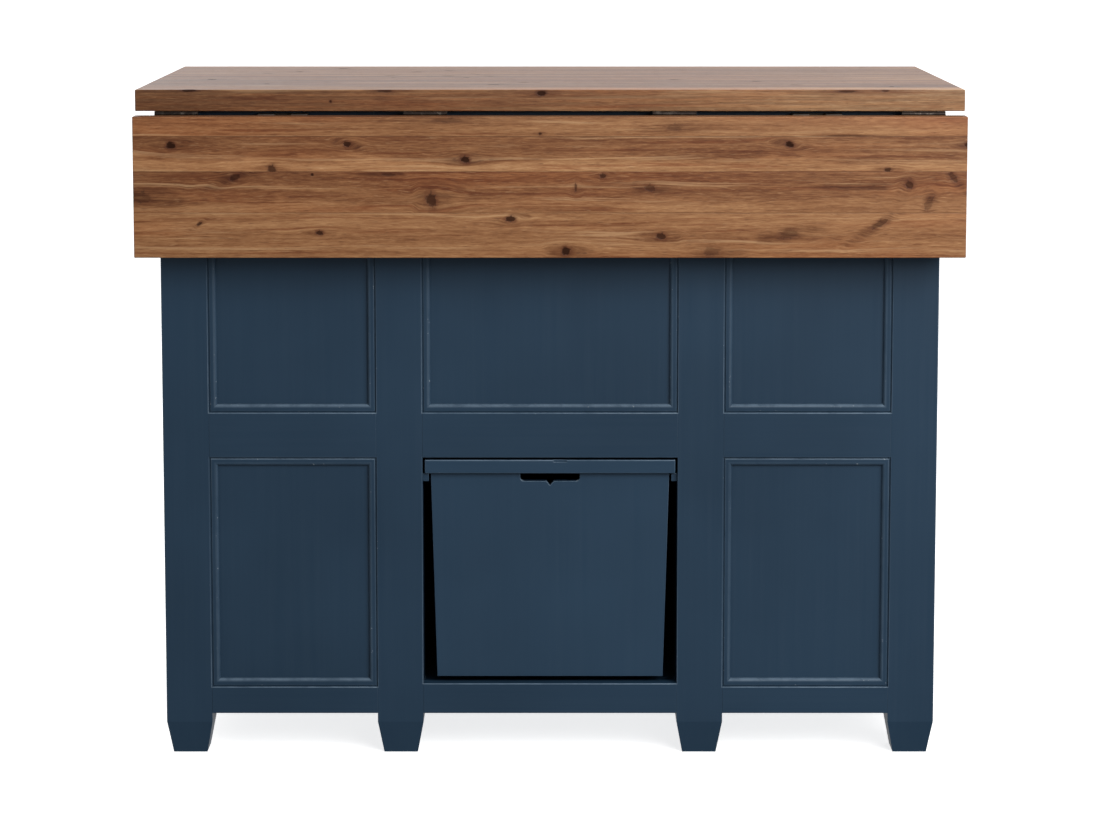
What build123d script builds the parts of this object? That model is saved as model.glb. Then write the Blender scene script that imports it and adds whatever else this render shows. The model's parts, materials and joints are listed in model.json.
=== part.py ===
from build123d import *
from functools import cache
from math import atan, cos, degrees, radians, sin, sqrt, tan
import os

# A painted bar counter with a hardwood worktop and a full-width drop leaf.
# Millimetres. X runs along the counter, -Y faces the bar side, +Y the kitchen side, +Z is up.
# The origin is on the floor, in the middle of the box round the whole counter.

# Worktop and drop leaf
counter_height = 990
top_width = 1200
top_depth = 650
top_thick = 31
leaf_drop = 204
wood_arris = 1.5
overhang = 30

# Carcase frame
post = 68
foot_width = 50
foot_taper_height = 48
paint_arris = 1.5
centre_bay = 376
ground_gap = 61
bottom_rail = 40
sill_rise = 5
mid_rail_base = 446
mid_rail = 67
top_rail = 68
rail_thick = 24
bottom_rail_thick = 34
tenon = 15
tenon_shoulder = 5
divider_rail = 20

# Panels and their mouldings
panel_recess = 8
panel_thick = 9
panel_tongue = 6
moulding_width = 13
moulding_set_back = 1.6
quirk_width = 1.6
quirk_depth = 3.2
bead_flat = 4
bead_foot = 0.8

# Boards inside the carcase
board = 18
board_gap = 1.5
shelf_height = 484
shelf_pin_diameter = 5
shelf_pin_length = 20
shelf_pin_inset = 60
cleat = 24

# Leaf hinges
hinge_length = 63
hinge_plate = 25
hinge_metal = 2
hinge_gap = 1.5
hinge_drop = 4
knuckle_diameter = 7
leaf_pin_diameter = 4
knuckle_end_gap = 0.4
bore_clearance = 0.05
leaf_hinge_inset = 60

# Screws
screw_head = 6
screw_shank = 3
hinge_screw_length = 16
cleat_screw_length = 40

# Folding supports under the leaf
support_inset = 213
housing_width = 72
housing_height = 195
housing_top_gap = 4.5
housing_front_gap = 2
slot_side_gap = 1
slot_back_gap = 1
arm_width = 22
arm_thick = 14
arm_slope = 25
arm_pin_drop = 50
arm_pin_diameter = 6
arm_pin_length = 56
pad_thick = 2
pad_width = 30
pad_length = 46
pad_gap = 0.4

# Pull-out tub
tub_rim = 20
rim_side_gap = 3.2
rim_top_gap = 3.6
rim_front_gap = 1
rim_arris = 1.5
rim_overhang = 8.7
tub_taper = 8.5
tub_floor_gap = 9
tub_wall = 12
tub_depth = 520
hand_hole_width = 88
hand_hole_height = 13
hand_hole_round = 5
notch_width = 11
notch_depth = 6.5
rim_notch_width = 19
rim_notch_depth = 3
rim_notch_height = 3
rim_notch_place = 15
runner_width = 9
runner_height = 12
slide_gap = 0.5
runner_front_gap = 6

# Drawers
drawer_front_thick = 20
front_gap = 2.5
drawer_wall = 12
drawer_side_gap = 13
drawer_height = 130
drawer_length = 480
drawer_bottom = 6
drawer_bottom_rise = 8
drawer_groove = 4
bearer_width = 25
bearer_height = 12
knob_place = 110

# Doors
door_thick = 20
door_gap = 2
door_frame = 52
door_panel_thick = 6
door_hinge_length = 64
door_hinge_plate = 20
door_hinge_inset = 110
door_pin_diameter = 3
door_knuckle_diameter = 6
door_pin_proud = 3.4
door_knob_height = 572

# Knobs
knob_diameter = 30
knob_projection = 26
knob_base_diameter = 16
knob_neck_diameter = 11
knob_shank_diameter = 5
knob_crown = 6

# Magnetic catches
catch_width = 46
catch_depth = 16
catch_height = 14
catch_gap = 0.6
strike_thick = 1.2

# How far the solids that make cuts stand out of the wood
cutter_reach = 1

# Sizes that follow from those above
leaf_proud = hinge_gap + hinge_drop + top_thick
whole_depth = top_depth + leaf_proud
top_front = -whole_depth / 2 + leaf_proud
top_back = whole_depth / 2
underside = counter_height - top_thick
body_width = top_width - 2 * overhang
body_end = body_width / 2
bar_face = top_front + overhang
kitchen_face = top_back - overhang
body_middle = (bar_face + kitchen_face) / 2
rail_base = ground_gap
floor_top = rail_base + bottom_rail
mid_rail_top = mid_rail_base + mid_rail
top_rail_base = underside - top_rail
bay_side = centre_bay / 2
side_bay = (bay_side + post, body_end - post)
lower_row = (floor_top, mid_rail_base)
upper_row = (mid_rail_top, top_rail_base)
front_post_back = bar_face + post
back_post_front = kitchen_face - post


def mirrored(span):
    """The same span on the other side of the middle."""
    return (-span[1], -span[0])


def grown(span, by):
    """A span made longer by the same amount at each end."""
    return (span[0] - by, span[1] + by)


def middle_of(span):
    return (span[0] + span[1]) / 2


def length_of(span):
    return span[1] - span[0]


def slab(xs, ys, zs, mode=Mode.ADD):
    """A square-cut board between low and high faces, in the part being made."""
    spans = (xs, ys, zs)
    with Locations(tuple(middle_of(span) for span in spans)):
        Box(*(length_of(span) for span in spans), mode=mode)


def rail_along_x(xs, ys, zs):
    """A rail with a stub tenon on each end, which its posts take."""
    slab(xs, ys, zs)
    slab(grown(xs, tenon), grown(ys, -tenon_shoulder), grown(zs, -tenon_shoulder))


def rail_along_y(xs, ys, zs):
    """The same rail along the end of the counter."""
    slab(xs, ys, zs)
    slab(grown(xs, -tenon_shoulder), grown(ys, tenon), grown(zs, -tenon_shoulder))


def finish(name, made):
    """Label a piece and write it under its own name."""
    made.part.label = name
    export_step(made.part, f"parts/{name}.step")


def finish_group(name, pieces):
    """Write separate pieces that touch each other, or are alike, as one group."""
    group = Compound(label=name, children=pieces)
    export_step(group, f"parts/{name}.step")


def loose_board(xs, ys, zs, cut=()):
    """A board as a piece of its own, less what is let into it."""
    with BuildPart() as board_piece:
        slab(xs, ys, zs)
        if cut:
            add(cut, mode=Mode.SUBTRACT)
    return board_piece.part


@cache
def moulding_strip(length, reach):
    """One strip along X, its outer edge below the middle of its panel, its ends mitred."""
    edge = moulding_width - reach
    quirk = (quirk_depth, quirk_width - reach)
    bead_start = (moulding_set_back, quirk[1] + quirk_depth - moulding_set_back)
    bead_end = (moulding_set_back, bead_start[1] + bead_flat)
    nose_end = (panel_recess - bead_foot, edge - bead_foot)
    with BuildPart() as strip:
        with BuildSketch(Plane.YZ):
            with BuildLine():
                Polyline((panel_recess, -reach), (quirk_depth, -reach), quirk)
                RadiusArc(quirk, bead_start, quirk_depth - moulding_set_back)
                Line(bead_start, bead_end)
                ThreePointArc(bead_end, bow(bead_end, nose_end), nose_end)
                Polyline(nose_end, (nose_end[0], edge), (panel_recess, edge))
                Line((panel_recess, edge), (panel_recess, -reach))
            make_face()
        extrude(amount=length / 2, both=True)
        mitre(length, reach)
    return strip.part


def bow(start, end):
    """The middle of a quarter-round that bulges towards the face of the frame."""
    share = 1 - 1 / sqrt(2)
    return (start[0] + share * (end[0] - start[0]), end[1] - share * (end[1] - start[1]))


def mitre(length, reach):
    """Cut both ends of the strip being made at 45 degrees, at the corners of its opening."""
    for side in (-1, 1):
        cut = Plane(origin=(side * length / 2, 0, -reach), z_dir=(side, 0, 1))
        split(bisect_by=cut, keep=Keep.BOTTOM)


@cache
def easing_strip(length, reach):
    """What a router takes off the square edge of a frame along one side of an opening."""
    with BuildPart() as strip:
        with BuildSketch(Plane.YZ):
            with BuildLine():
                RadiusArc((0, -reach - paint_arris), (paint_arris, -reach), paint_arris)
                Polyline((paint_arris, -reach), (paint_arris, cutter_reach - reach),
                         (-cutter_reach, cutter_reach - reach),
                         (-cutter_reach, -reach - paint_arris), (0, -reach - paint_arris))
            make_face()
        extrude(amount=length / 2 + paint_arris, both=True)
        mitre(length, reach)
    return strip.part


def round_opening(strip, width, height, middle, turn):
    """Four strips round an opening, on a frame face turned about Z from the bar side."""
    place = Location(middle, (0, 0, turn))
    sides = ((0, width, height), (90, height, width), (180, width, height), (270, height, width))
    return [
        place * Location((0, 0, 0), (0, lean, 0)) * strip(along, across / 2)
        for lean, along, across in sides
    ]


def reaching(pieces, xs, ys, zs):
    """The solids among the pieces that reach into a box."""
    found = []
    for solid in (solid for piece in pieces for solid in piece.solids()):
        size = solid.bounding_box()
        reaches = zip((xs, ys, zs), size.min, size.max)
        if all(low < span[1] and high > span[0] for span, low, high in reaches):
            found.append(solid)
    return found


os.makedirs("parts", exist_ok=True)

# Where the pieces of the frame stand
bays = {
    "left": mirrored(side_bay),
    "centre": (-bay_side, bay_side),
    "right": side_bay,
}
bar_rail_depth = (bar_face, bar_face + rail_thick)
kitchen_rail_depth = (kitchen_face - rail_thick, kitchen_face)
end_run = (front_post_back, back_post_front)
right_end_thick = (body_end - rail_thick, body_end)
inner_post = (bay_side, bay_side + post)
outer_post = (body_end - post, body_end)
mid_rail_span = (mid_rail_base, mid_rail_top)
top_rail_span = (top_rail_base, underside)
centre_lower_row = (floor_top + sill_rise, mid_rail_base)

# Floor board on the rebates of the bottom rails; the posts are cut out of it below
floor_inside = grown((bar_face, kitchen_face), -rail_thick)
floor_sides = grown((-body_end, body_end), -rail_thick)

# Panels, each with a tongue in the grooves of the posts and rails round it
panel_front = bar_face + panel_recess
panel_depth = (panel_front, panel_front + panel_thick)
kitchen_panel_depth = (kitchen_face - panel_recess - panel_thick, kitchen_face - panel_recess)
end_panel_thick = (body_end - panel_recess - panel_thick, body_end - panel_recess)

with BuildPart() as bar_panels:
    for bay in bays.values():
        slab(grown(bay, panel_tongue), panel_depth, grown(upper_row, panel_tongue))
    for side in ("left", "right"):
        slab(grown(bays[side], panel_tongue), panel_depth, grown(lower_row, panel_tongue))
finish("bar_panels", bar_panels)

# Shelf pins, half in the wood beside the shelf and half under it
partition = (bay_side, bay_side + board)
shelf_space = (partition[1], body_end - rail_thick)
pin_height = shelf_height - shelf_pin_diameter / 2
pin_rows = [edge + step for edge, step in zip(end_run, (shelf_pin_inset, -shelf_pin_inset))]
with BuildPart() as shelf_pins:
    for x in (partition[1], body_end - rail_thick):
        for side in (-1, 1):
            for y in pin_rows:
                with Locations(Location((side * x, y, pin_height), (0, 90, 0))):
                    Cylinder(shelf_pin_diameter / 2, shelf_pin_length)
finish("shelf_pins", shelf_pins)

with BuildPart() as end_panels:
    for row in (lower_row, upper_row):
        for thick in (end_panel_thick, mirrored(end_panel_thick)):
            slab(thick, grown(end_run, panel_tongue), grown(row, panel_tongue))
    add(shelf_pins.part, mode=Mode.SUBTRACT)
finish("end_panels", end_panels)

with BuildPart() as kitchen_panel:
    xs = grown(bays["centre"], panel_tongue)
    slab(xs, kitchen_panel_depth, grown(centre_lower_row, panel_tongue))
finish("kitchen_panel", kitchen_panel)

# Openings in the frame, each with its size, middle and turn; the first ones hold panels
panel_openings = []
for row in (lower_row, upper_row):
    for side, bay in bays.items():
        if side != "centre" or row != lower_row:
            middle = (middle_of(bay), bar_face, middle_of(row))
            panel_openings.append((length_of(bay), length_of(row), middle, 0))
    for face, turn in ((body_end, 90), (-body_end, -90)):
        middle = (face, body_middle, middle_of(row))
        panel_openings.append((length_of(end_run), length_of(row), middle, turn))
centre_middle = middle_of(centre_lower_row)
centre_height = length_of(centre_lower_row)
panel_openings.append((centre_bay, centre_height, (0, kitchen_face, centre_middle), 180))
tub_opening = (centre_bay, centre_height, (0, bar_face, centre_middle), 0)
strips = [strip for opening in panel_openings for strip in round_opening(moulding_strip, *opening)]
finish_group("panel_mouldings", strips)
easings = [
    strip
    for opening in (*panel_openings, tub_opening)
    for strip in round_opening(easing_strip, *opening)
]


def let_into(frame_piece, *pieces):
    """Cut the piece being made to take others, and ease its edges round the openings."""
    box = frame_piece.part.bounding_box()
    spans = [grown(span, cutter_reach / 2) for span in zip(box.min, box.max)]
    cutters = reaching([*(piece.part for piece in pieces), *easings], *spans)
    add(cutters, mode=Mode.SUBTRACT)


# Rails
with BuildPart() as bar_top_rails:
    for bay in bays.values():
        rail_along_x(bay, bar_rail_depth, top_rail_span)
    let_into(bar_top_rails, bar_panels)
finish("bar_top_rails", bar_top_rails)

with BuildPart() as bar_mid_rails:
    for bay in bays.values():
        rail_along_x(bay, bar_rail_depth, mid_rail_span)
    let_into(bar_mid_rails, bar_panels)
finish("bar_mid_rails", bar_mid_rails)


def bottom_rails(ys, rebate):
    """The three bottom rails of a long side, the middle one higher, rebated for the floor."""
    for side, bay in bays.items():
        rise = sill_rise if side == "centre" else 0
        rail_along_x(bay, ys, (rail_base, floor_top + rise))
    slab(floor_sides, rebate, (floor_top - board, floor_top + sill_rise), Mode.SUBTRACT)


bar_bottom_depth = (bar_face, bar_face + bottom_rail_thick)
with BuildPart() as bar_bottom_rails:
    bottom_rails(bar_bottom_depth, (bar_rail_depth[1], bar_bottom_depth[1]))
    let_into(bar_bottom_rails, bar_panels)
finish("bar_bottom_rails", bar_bottom_rails)

divider_middle = middle_of(upper_row)
divider_span = grown((divider_middle, divider_middle), divider_rail / 2)
kitchen_bottom_depth = (kitchen_face - bottom_rail_thick, kitchen_face)
with BuildPart() as kitchen_rails:
    bottom_rails(kitchen_bottom_depth, (kitchen_bottom_depth[0], kitchen_rail_depth[0]))
    for bay in bays.values():
        rail_along_x(bay, kitchen_rail_depth, top_rail_span)
    rail_along_x(bays["centre"], kitchen_rail_depth, mid_rail_span)
    rail_along_x(bays["centre"], kitchen_rail_depth, divider_span)
    let_into(kitchen_rails, kitchen_panel)
finish("kitchen_rails", kitchen_rails)

with BuildPart() as end_rails:
    for thick in (right_end_thick, mirrored(right_end_thick)):
        for span in ((rail_base, floor_top), mid_rail_span, top_rail_span):
            rail_along_y(thick, end_run, span)
    let_into(end_rails, end_panels, shelf_pins)
finish("end_rails", end_rails)


def post_blank(x_span, y_span, free_corner):
    """A square post with its free corner eased and its foot tapered on all four sides."""
    centre = (middle_of(x_span), middle_of(y_span))
    foot_lean = degrees(atan((post - foot_width) / 2 / foot_taper_height))
    with BuildPart() as blank:
        with BuildSketch(Plane.XY.offset(foot_taper_height)) as section:
            with Locations(centre):
                Rectangle(post, post)
            if free_corner:
                fillet(section.vertices().sort_by_distance((*free_corner, foot_taper_height))[0],
                       paint_arris)
        extrude(amount=underside - foot_taper_height)
        extrude(section.sketch, amount=-foot_taper_height, taper=foot_lean)
    return blank.part


# Posts, each cut to take the tenons and tongues that meet it
joined_rails = (bar_top_rails, bar_mid_rails, bar_bottom_rails, kitchen_rails, end_rails)
post_places = {
    "post_bar_left_end": (mirrored(outer_post), -body_end),
    "post_bar_left_inner": (mirrored(inner_post), None),
    "post_bar_right_inner": (inner_post, None),
    "post_bar_right_end": (outer_post, body_end),
}
posts = []
for bar_name, (x_span, free_x) in post_places.items():
    rows = (
        (bar_name, (bar_face, front_post_back), bar_face),
        (bar_name.replace("bar", "kitchen"), (back_post_front, kitchen_face), kitchen_face),
    )
    for name, y_span, free_y in rows:
        blank = post_blank(x_span, y_span, (free_x, free_y) if free_x else None)
        with BuildPart() as one_post:
            add(blank)
            let_into(one_post, *joined_rails, bar_panels, end_panels, kitchen_panel)
        posts.append(one_post.part)
        finish(name, one_post)

with BuildPart() as floor_board:
    slab(floor_sides, floor_inside, (floor_top - board, floor_top))
    add(posts, mode=Mode.SUBTRACT)
    add(bar_bottom_rails.part, mode=Mode.SUBTRACT)
    add(kitchen_rails.part, mode=Mode.SUBTRACT)
finish("floor_board", floor_board)

# Partitions beside the middle bay, the board over the tub, and the shelves
cleat_span = (underside - cleat, underside)
for side, xs in (("left", mirrored(partition)), ("right", partition)):
    with BuildPart() as partition_board:
        slab(xs, end_run, (floor_top, underside))
        add(shelf_pins.part, mode=Mode.SUBTRACT)
    finish(f"partition_{side}", partition_board)

with BuildPart() as dust_board:
    dust_run = (bar_rail_depth[1], kitchen_rail_depth[0])
    slab(bays["centre"], dust_run, (mid_rail_base, mid_rail_base + board))
finish("dust_board", dust_board)

with BuildPart() as shelves:
    for space in (shelf_space, mirrored(shelf_space)):
        slab(grown(space, -board_gap), grown(end_run, -board_gap), (shelf_height, shelf_height + board))
finish("shelves", shelves)


def screw(length, place, turn):
    """A countersunk screw whose head is flush with the face at its place."""
    head = (screw_head - screw_shank) / 2
    with BuildPart() as made:
        with BuildSketch(Plane.XZ) as half:
            with BuildLine():
                Polyline(
                    (0, 0), (screw_head / 2, 0), (screw_shank / 2, -head),
                    (screw_shank / 2, head + screw_shank - length), (0, -length), close=True,
                )
            make_face()
        revolve(axis=Axis.Z)
    return Location(place, turn) * made.part


# Cleats under the worktop, and the screws that hold it down
cleat_faces = (partition[1], body_end - rail_thick - cleat)
cleat_places = [side * (face + cleat / 2) for face in cleat_faces for side in (-1, 1)]
worktop_screws = [
    screw(cleat_screw_length, (x, y, cleat_span[0]), (180, 0, 0))
    for x in cleat_places
    for y in (pin_rows[0], body_middle, pin_rows[1])
]

# Leaf hinges: a plate under the worktop, a flap on the leaf, and a pin through both
outer_hinge = top_width / 2 - leaf_hinge_inset
hinge_places = [side * x for x in (outer_hinge / 3, outer_hinge) for side in (-1, 1)]
leaf_pin_y = top_front - hinge_gap
leaf_pin_z = underside - hinge_drop


@cache
def hinge_half(length, wing, knuckle, pin, drop, metal, outer):
    """Half a butt hinge lying on the plane Z=drop, its pin on the X axis, its wing towards +Y.

    The outer half has three knuckles and the inner half the two between them.
    """
    pitch = (length + knuckle_end_gap) / 5
    own = (-2, 0, 2) if outer else (-1, 1)
    bore = pin / 2 if outer else pin / 2 + bore_clearance
    root = knuckle / 2 + knuckle_end_gap
    with BuildPart() as half:
        slab(grown((0, 0), length / 2), (root, root + wing), (drop - metal, drop))
        for place in own:
            span = grown((place * pitch, place * pitch), (pitch - knuckle_end_gap) / 2)
            slab(span, (0, root), (drop - metal, drop))
            with Locations(Location((place * pitch, 0, 0), (0, 90, 0))):
                Cylinder(knuckle / 2, length_of(span))
        with Locations(Location((0, 0, 0), (0, 90, 0))):
            Cylinder(bore, length, mode=Mode.SUBTRACT)
    return half.part


leaf_hinge_size = (hinge_length, hinge_plate, knuckle_diameter, leaf_pin_diameter, hinge_drop,
                   hinge_metal)
screw_rows = [place * hinge_length / 3 for place in (-1, 0, 1)]
hinge_screw_reach = knuckle_diameter / 2 + knuckle_end_gap + hinge_plate / 2
plate_screws = [
    screw(hinge_screw_length, (x + row, leaf_pin_y + hinge_screw_reach, underside - hinge_metal),
          (180, 0, 0))
    for x in hinge_places
    for row in screw_rows
]
flap_face = leaf_pin_y - hinge_drop + hinge_metal
flap_screws = [
    screw(hinge_screw_length, (x + row, flap_face, leaf_pin_z - hinge_screw_reach), (-90, 0, 0))
    for x in hinge_places
    for row in screw_rows
]

with BuildPart() as leaf_hinge_plates:
    for x in hinge_places:
        add(Location((x, leaf_pin_y, leaf_pin_z)) * hinge_half(*leaf_hinge_size, outer=True))
    add(plate_screws, mode=Mode.SUBTRACT)
finish("leaf_hinge_plates", leaf_hinge_plates)

with BuildPart() as leaf_hinge_flaps:
    for x in hinge_places:
        hanging = Location((x, leaf_pin_y, leaf_pin_z), (-90, 0, 0))
        flipped = hinge_half(*leaf_hinge_size, outer=False)
        add(hanging * flipped)
    add(flap_screws, mode=Mode.SUBTRACT)
finish("leaf_hinge_flaps", leaf_hinge_flaps)

with BuildPart() as leaf_hinge_pins:
    with Locations([Location((x, leaf_pin_y, leaf_pin_z), (0, 90, 0)) for x in hinge_places]):
        Cylinder(leaf_pin_diameter / 2, hinge_length)
finish("leaf_hinge_pins", leaf_hinge_pins)

with BuildPart() as worktop_cleats:
    for x in cleat_places:
        slab(grown((x, x), cleat / 2), end_run, cleat_span)
    add(worktop_screws, mode=Mode.SUBTRACT)
finish("worktop_cleats", worktop_cleats)

with BuildPart() as worktop:
    slab(grown((0, 0), top_width / 2), (top_front, top_back), (underside, counter_height))
    fillet(worktop.edges(), wood_arris)
    add(worktop_screws + plate_screws, mode=Mode.SUBTRACT)
finish("worktop", worktop)

leaf_face = leaf_pin_y - hinge_drop
leaf_top = leaf_pin_z - hinge_gap
with BuildPart() as drop_leaf:
    slab(grown((0, 0), top_width / 2), (leaf_face - top_thick, leaf_face), (leaf_top - leaf_drop, leaf_top))
    fillet(drop_leaf.edges(), wood_arris)
    add(flap_screws, mode=Mode.SUBTRACT)
finish("drop_leaf", drop_leaf)

finish_group("leaf_hinge_screws", flap_screws)
finish_group("worktop_screws", worktop_screws + plate_screws)

# Folding supports: a slotted housing on the bar face and an arm that swings up under the leaf
housing_depth = (top_front + housing_front_gap, bar_face)
housing_top = underside - housing_top_gap
arm_y = middle_of(housing_depth) - slot_back_gap
arm_z = leaf_pin_z - arm_pin_drop
arm_rise = underside - pad_thick - pad_gap - arm_z
arm_middle = arm_rise / sin(radians(arm_slope))
toe_skew = arm_thick / 2 / tan(radians(arm_slope))
slot_width = arm_width + 2 * slot_side_gap
slot_back = arm_y + arm_thick / 2 + slot_back_gap
pad_reach = arm_middle * cos(radians(arm_slope)) - (arm_y - leaf_pin_y)

support_place = top_width / 2 - support_inset
for side, x in (("left", -support_place), ("right", support_place)):
    arm_turn = Location((x, arm_y, arm_z), (0, 90, 0))
    with BuildPart() as housing:
        xs = grown((x, x), housing_width / 2)
        slab(xs, housing_depth, (housing_top - housing_height, housing_top))
        edges = housing.faces().sort_by(Axis.Y)[0].edges()
        fillet(edges, paint_arris)
        slot_zs = grown((housing_top - housing_height, housing_top), 1)
        slab(grown((x, x), slot_width / 2), (housing_depth[0] - 1, slot_back), slot_zs, Mode.SUBTRACT)
        with Locations(arm_turn):
            Cylinder(arm_pin_diameter / 2, arm_pin_length, mode=Mode.SUBTRACT)
    finish(f"support_housing_{side}", housing)

    with BuildPart() as arm:
        with BuildSketch(Plane.YZ.offset(x - arm_width / 2)) as arm_side:
            with BuildLine():
                near = (arm_y - arm_thick / 2, arm_z - arm_middle + toe_skew)
                far = (arm_y + arm_thick / 2, arm_z - arm_middle - toe_skew)
                Line((near[0], arm_z), near)
                Line(near, far)
                Line(far, (far[0], arm_z))
                ThreePointArc((far[0], arm_z), (arm_y, arm_z + arm_thick / 2), (near[0], arm_z))
            make_face()
        extrude(amount=arm_width)
        with Locations(arm_turn):
            Cylinder(arm_pin_diameter / 2 + bore_clearance, arm_width, mode=Mode.SUBTRACT)
    finish(f"support_arm_{side}", arm)

with BuildPart() as support_arm_pins:
    places = [Location((x, arm_y, arm_z), (0, 90, 0)) for x in (-support_place, support_place)]
    with Locations(places):
        Cylinder(arm_pin_diameter / 2, arm_pin_length)
finish("support_arm_pins", support_arm_pins)

with BuildPart() as support_pads:
    pad_zs = grown((leaf_pin_z - pad_reach, leaf_pin_z - pad_reach), pad_length / 2)
    for x in (-support_place, support_place):
        slab(grown((x, x), pad_width / 2), (leaf_face, leaf_face + pad_thick), pad_zs)
finish("support_pads", support_pads)

# Pull-out tub: a tapered box hung from a rim that slides on two runners
rim_half = bay_side - rim_side_gap
rim_span = (mid_rail_base - rim_top_gap - tub_rim, mid_rail_base - rim_top_gap)
rim_front = bar_face + rim_front_gap
tub_front_face = rim_front + rim_overhang
tub_back_face = tub_front_face + tub_depth
tub_half_top = rim_half - rim_overhang
tub_bottom = floor_top + sill_rise + tub_floor_gap
tub_span = (tub_bottom, rim_span[0])
side_lean = tub_taper / length_of(tub_span)
rim_outer_depth = (rim_front, tub_back_face + rim_overhang)
rim_ring = rim_overhang + tub_wall


def tub_board(inset, zs, ys):
    """A board across the tub, as wide as the tub is at each height, less an inset."""
    low, high = [tub_half_top - (rim_span[0] - z) * side_lean - inset for z in zs]
    with BuildSketch(Plane.XZ.offset(-ys[0])) as face:
        with BuildLine():
            Polyline((-low, zs[0]), (low, zs[0]), (high, zs[1]), (-high, zs[1]), close=True)
        make_face()
    extrude(face.sketch, amount=-length_of(ys))


with BuildPart() as tub_front:
    front_ys = (tub_front_face, tub_front_face + tub_wall)
    tub_board(0, tub_span, front_ys)
    with BuildSketch(Plane.XZ.offset(-front_ys[0])) as hand_hole:
        with BuildLine():
            hole_floor = tub_span[1] - hand_hole_height
            hole_half = hand_hole_width / 2
            turn_in = hole_half - hand_hole_round
            Line((-hole_half, tub_span[1]), (-hole_half, hole_floor + hand_hole_round))
            RadiusArc((-hole_half, hole_floor + hand_hole_round), (-turn_in, hole_floor),
                      -hand_hole_round)
            Polyline((-turn_in, hole_floor), (-notch_width / 2, hole_floor),
                     (0, hole_floor - notch_depth), (notch_width / 2, hole_floor),
                     (turn_in, hole_floor))
            RadiusArc((turn_in, hole_floor), (hole_half, hole_floor + hand_hole_round),
                      -hand_hole_round)
            Line((hole_half, hole_floor + hand_hole_round), (hole_half, tub_span[1]))
            Line((hole_half, tub_span[1]), (-hole_half, tub_span[1]))
        make_face()
    extrude(amount=-tub_wall, mode=Mode.SUBTRACT)
finish("tub_front", tub_front)

with BuildPart() as tub_back:
    tub_board(0, tub_span, (tub_back_face - tub_wall, tub_back_face))
finish("tub_back", tub_back)

inside_ys = (tub_front_face + tub_wall, tub_back_face - tub_wall)
with BuildPart() as tub_sides:
    tub_board(0, tub_span, inside_ys)
    with BuildSketch(Plane.XZ.offset(-inside_ys[0])) as hollow:
        with BuildLine():
            inner_low, inner_high = [
                tub_half_top - (rim_span[0] - z) * side_lean - tub_wall for z in tub_span
            ]
            Polyline((-inner_low, tub_span[0]), (inner_low, tub_span[0]),
                     (inner_high, tub_span[1]), (-inner_high, tub_span[1]), close=True)
        make_face()
    extrude(amount=-length_of(inside_ys), mode=Mode.SUBTRACT)
finish("tub_sides", tub_sides)

with BuildPart() as tub_floor:
    tub_board(tub_wall, (tub_bottom, tub_bottom + tub_wall), inside_ys)
finish("tub_floor", tub_floor)

with BuildPart() as tub_rim_frame:
    slab(grown((0, 0), rim_half), rim_outer_depth, rim_span)
    fillet(tub_rim_frame.edges(), rim_arris)
    inner_xs = grown((0, 0), rim_half - rim_ring)
    slab(inner_xs, grown(rim_outer_depth, -rim_ring), grown(rim_span, 1), Mode.SUBTRACT)
    notch_xs = grown((rim_notch_place, rim_notch_place), rim_notch_width / 2)
    notch_ys = (rim_front - 1, rim_front + rim_notch_depth)
    slab(notch_xs, notch_ys, (rim_span[1] - rim_notch_height, rim_span[1] + 1), Mode.SUBTRACT)
finish("tub_rim", tub_rim_frame)

with BuildPart() as tub_runners:
    runner_ys = (bar_face + runner_front_gap, kitchen_panel_depth[0])
    runner_zs = (rim_span[0] - slide_gap - runner_height, rim_span[0] - slide_gap)
    for xs in ((bay_side - runner_width, bay_side), (-bay_side, runner_width - bay_side)):
        slab(xs, runner_ys, runner_zs)
finish("tub_runners", tub_runners)


def knob(place, reach):
    """A turned knob facing +Y, with the shank that holds it to a board of the given thickness."""
    neck = knob_neck_diameter / 2
    head = knob_diameter / 2
    crown_start = knob_projection - knob_crown
    crown_radius = (head**2 + knob_crown**2) / (2 * knob_crown)
    with BuildPart() as made:
        with BuildSketch(Plane.XY) as half:
            with BuildLine():
                Line((0, -reach), (knob_shank_diameter / 2, -reach))
                Line((knob_shank_diameter / 2, -reach), (knob_shank_diameter / 2, 0))
                Line((knob_shank_diameter / 2, 0), (knob_base_diameter / 2, 0))
                ThreePointArc((knob_base_diameter / 2, 0), (neck, crown_start / 2),
                              (head, crown_start))
                RadiusArc((head, crown_start), (0, knob_projection), -crown_radius)
                Line((0, knob_projection), (0, -reach))
            make_face()
        revolve(axis=Axis.Y)
    return Location(place) * made.part


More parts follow.
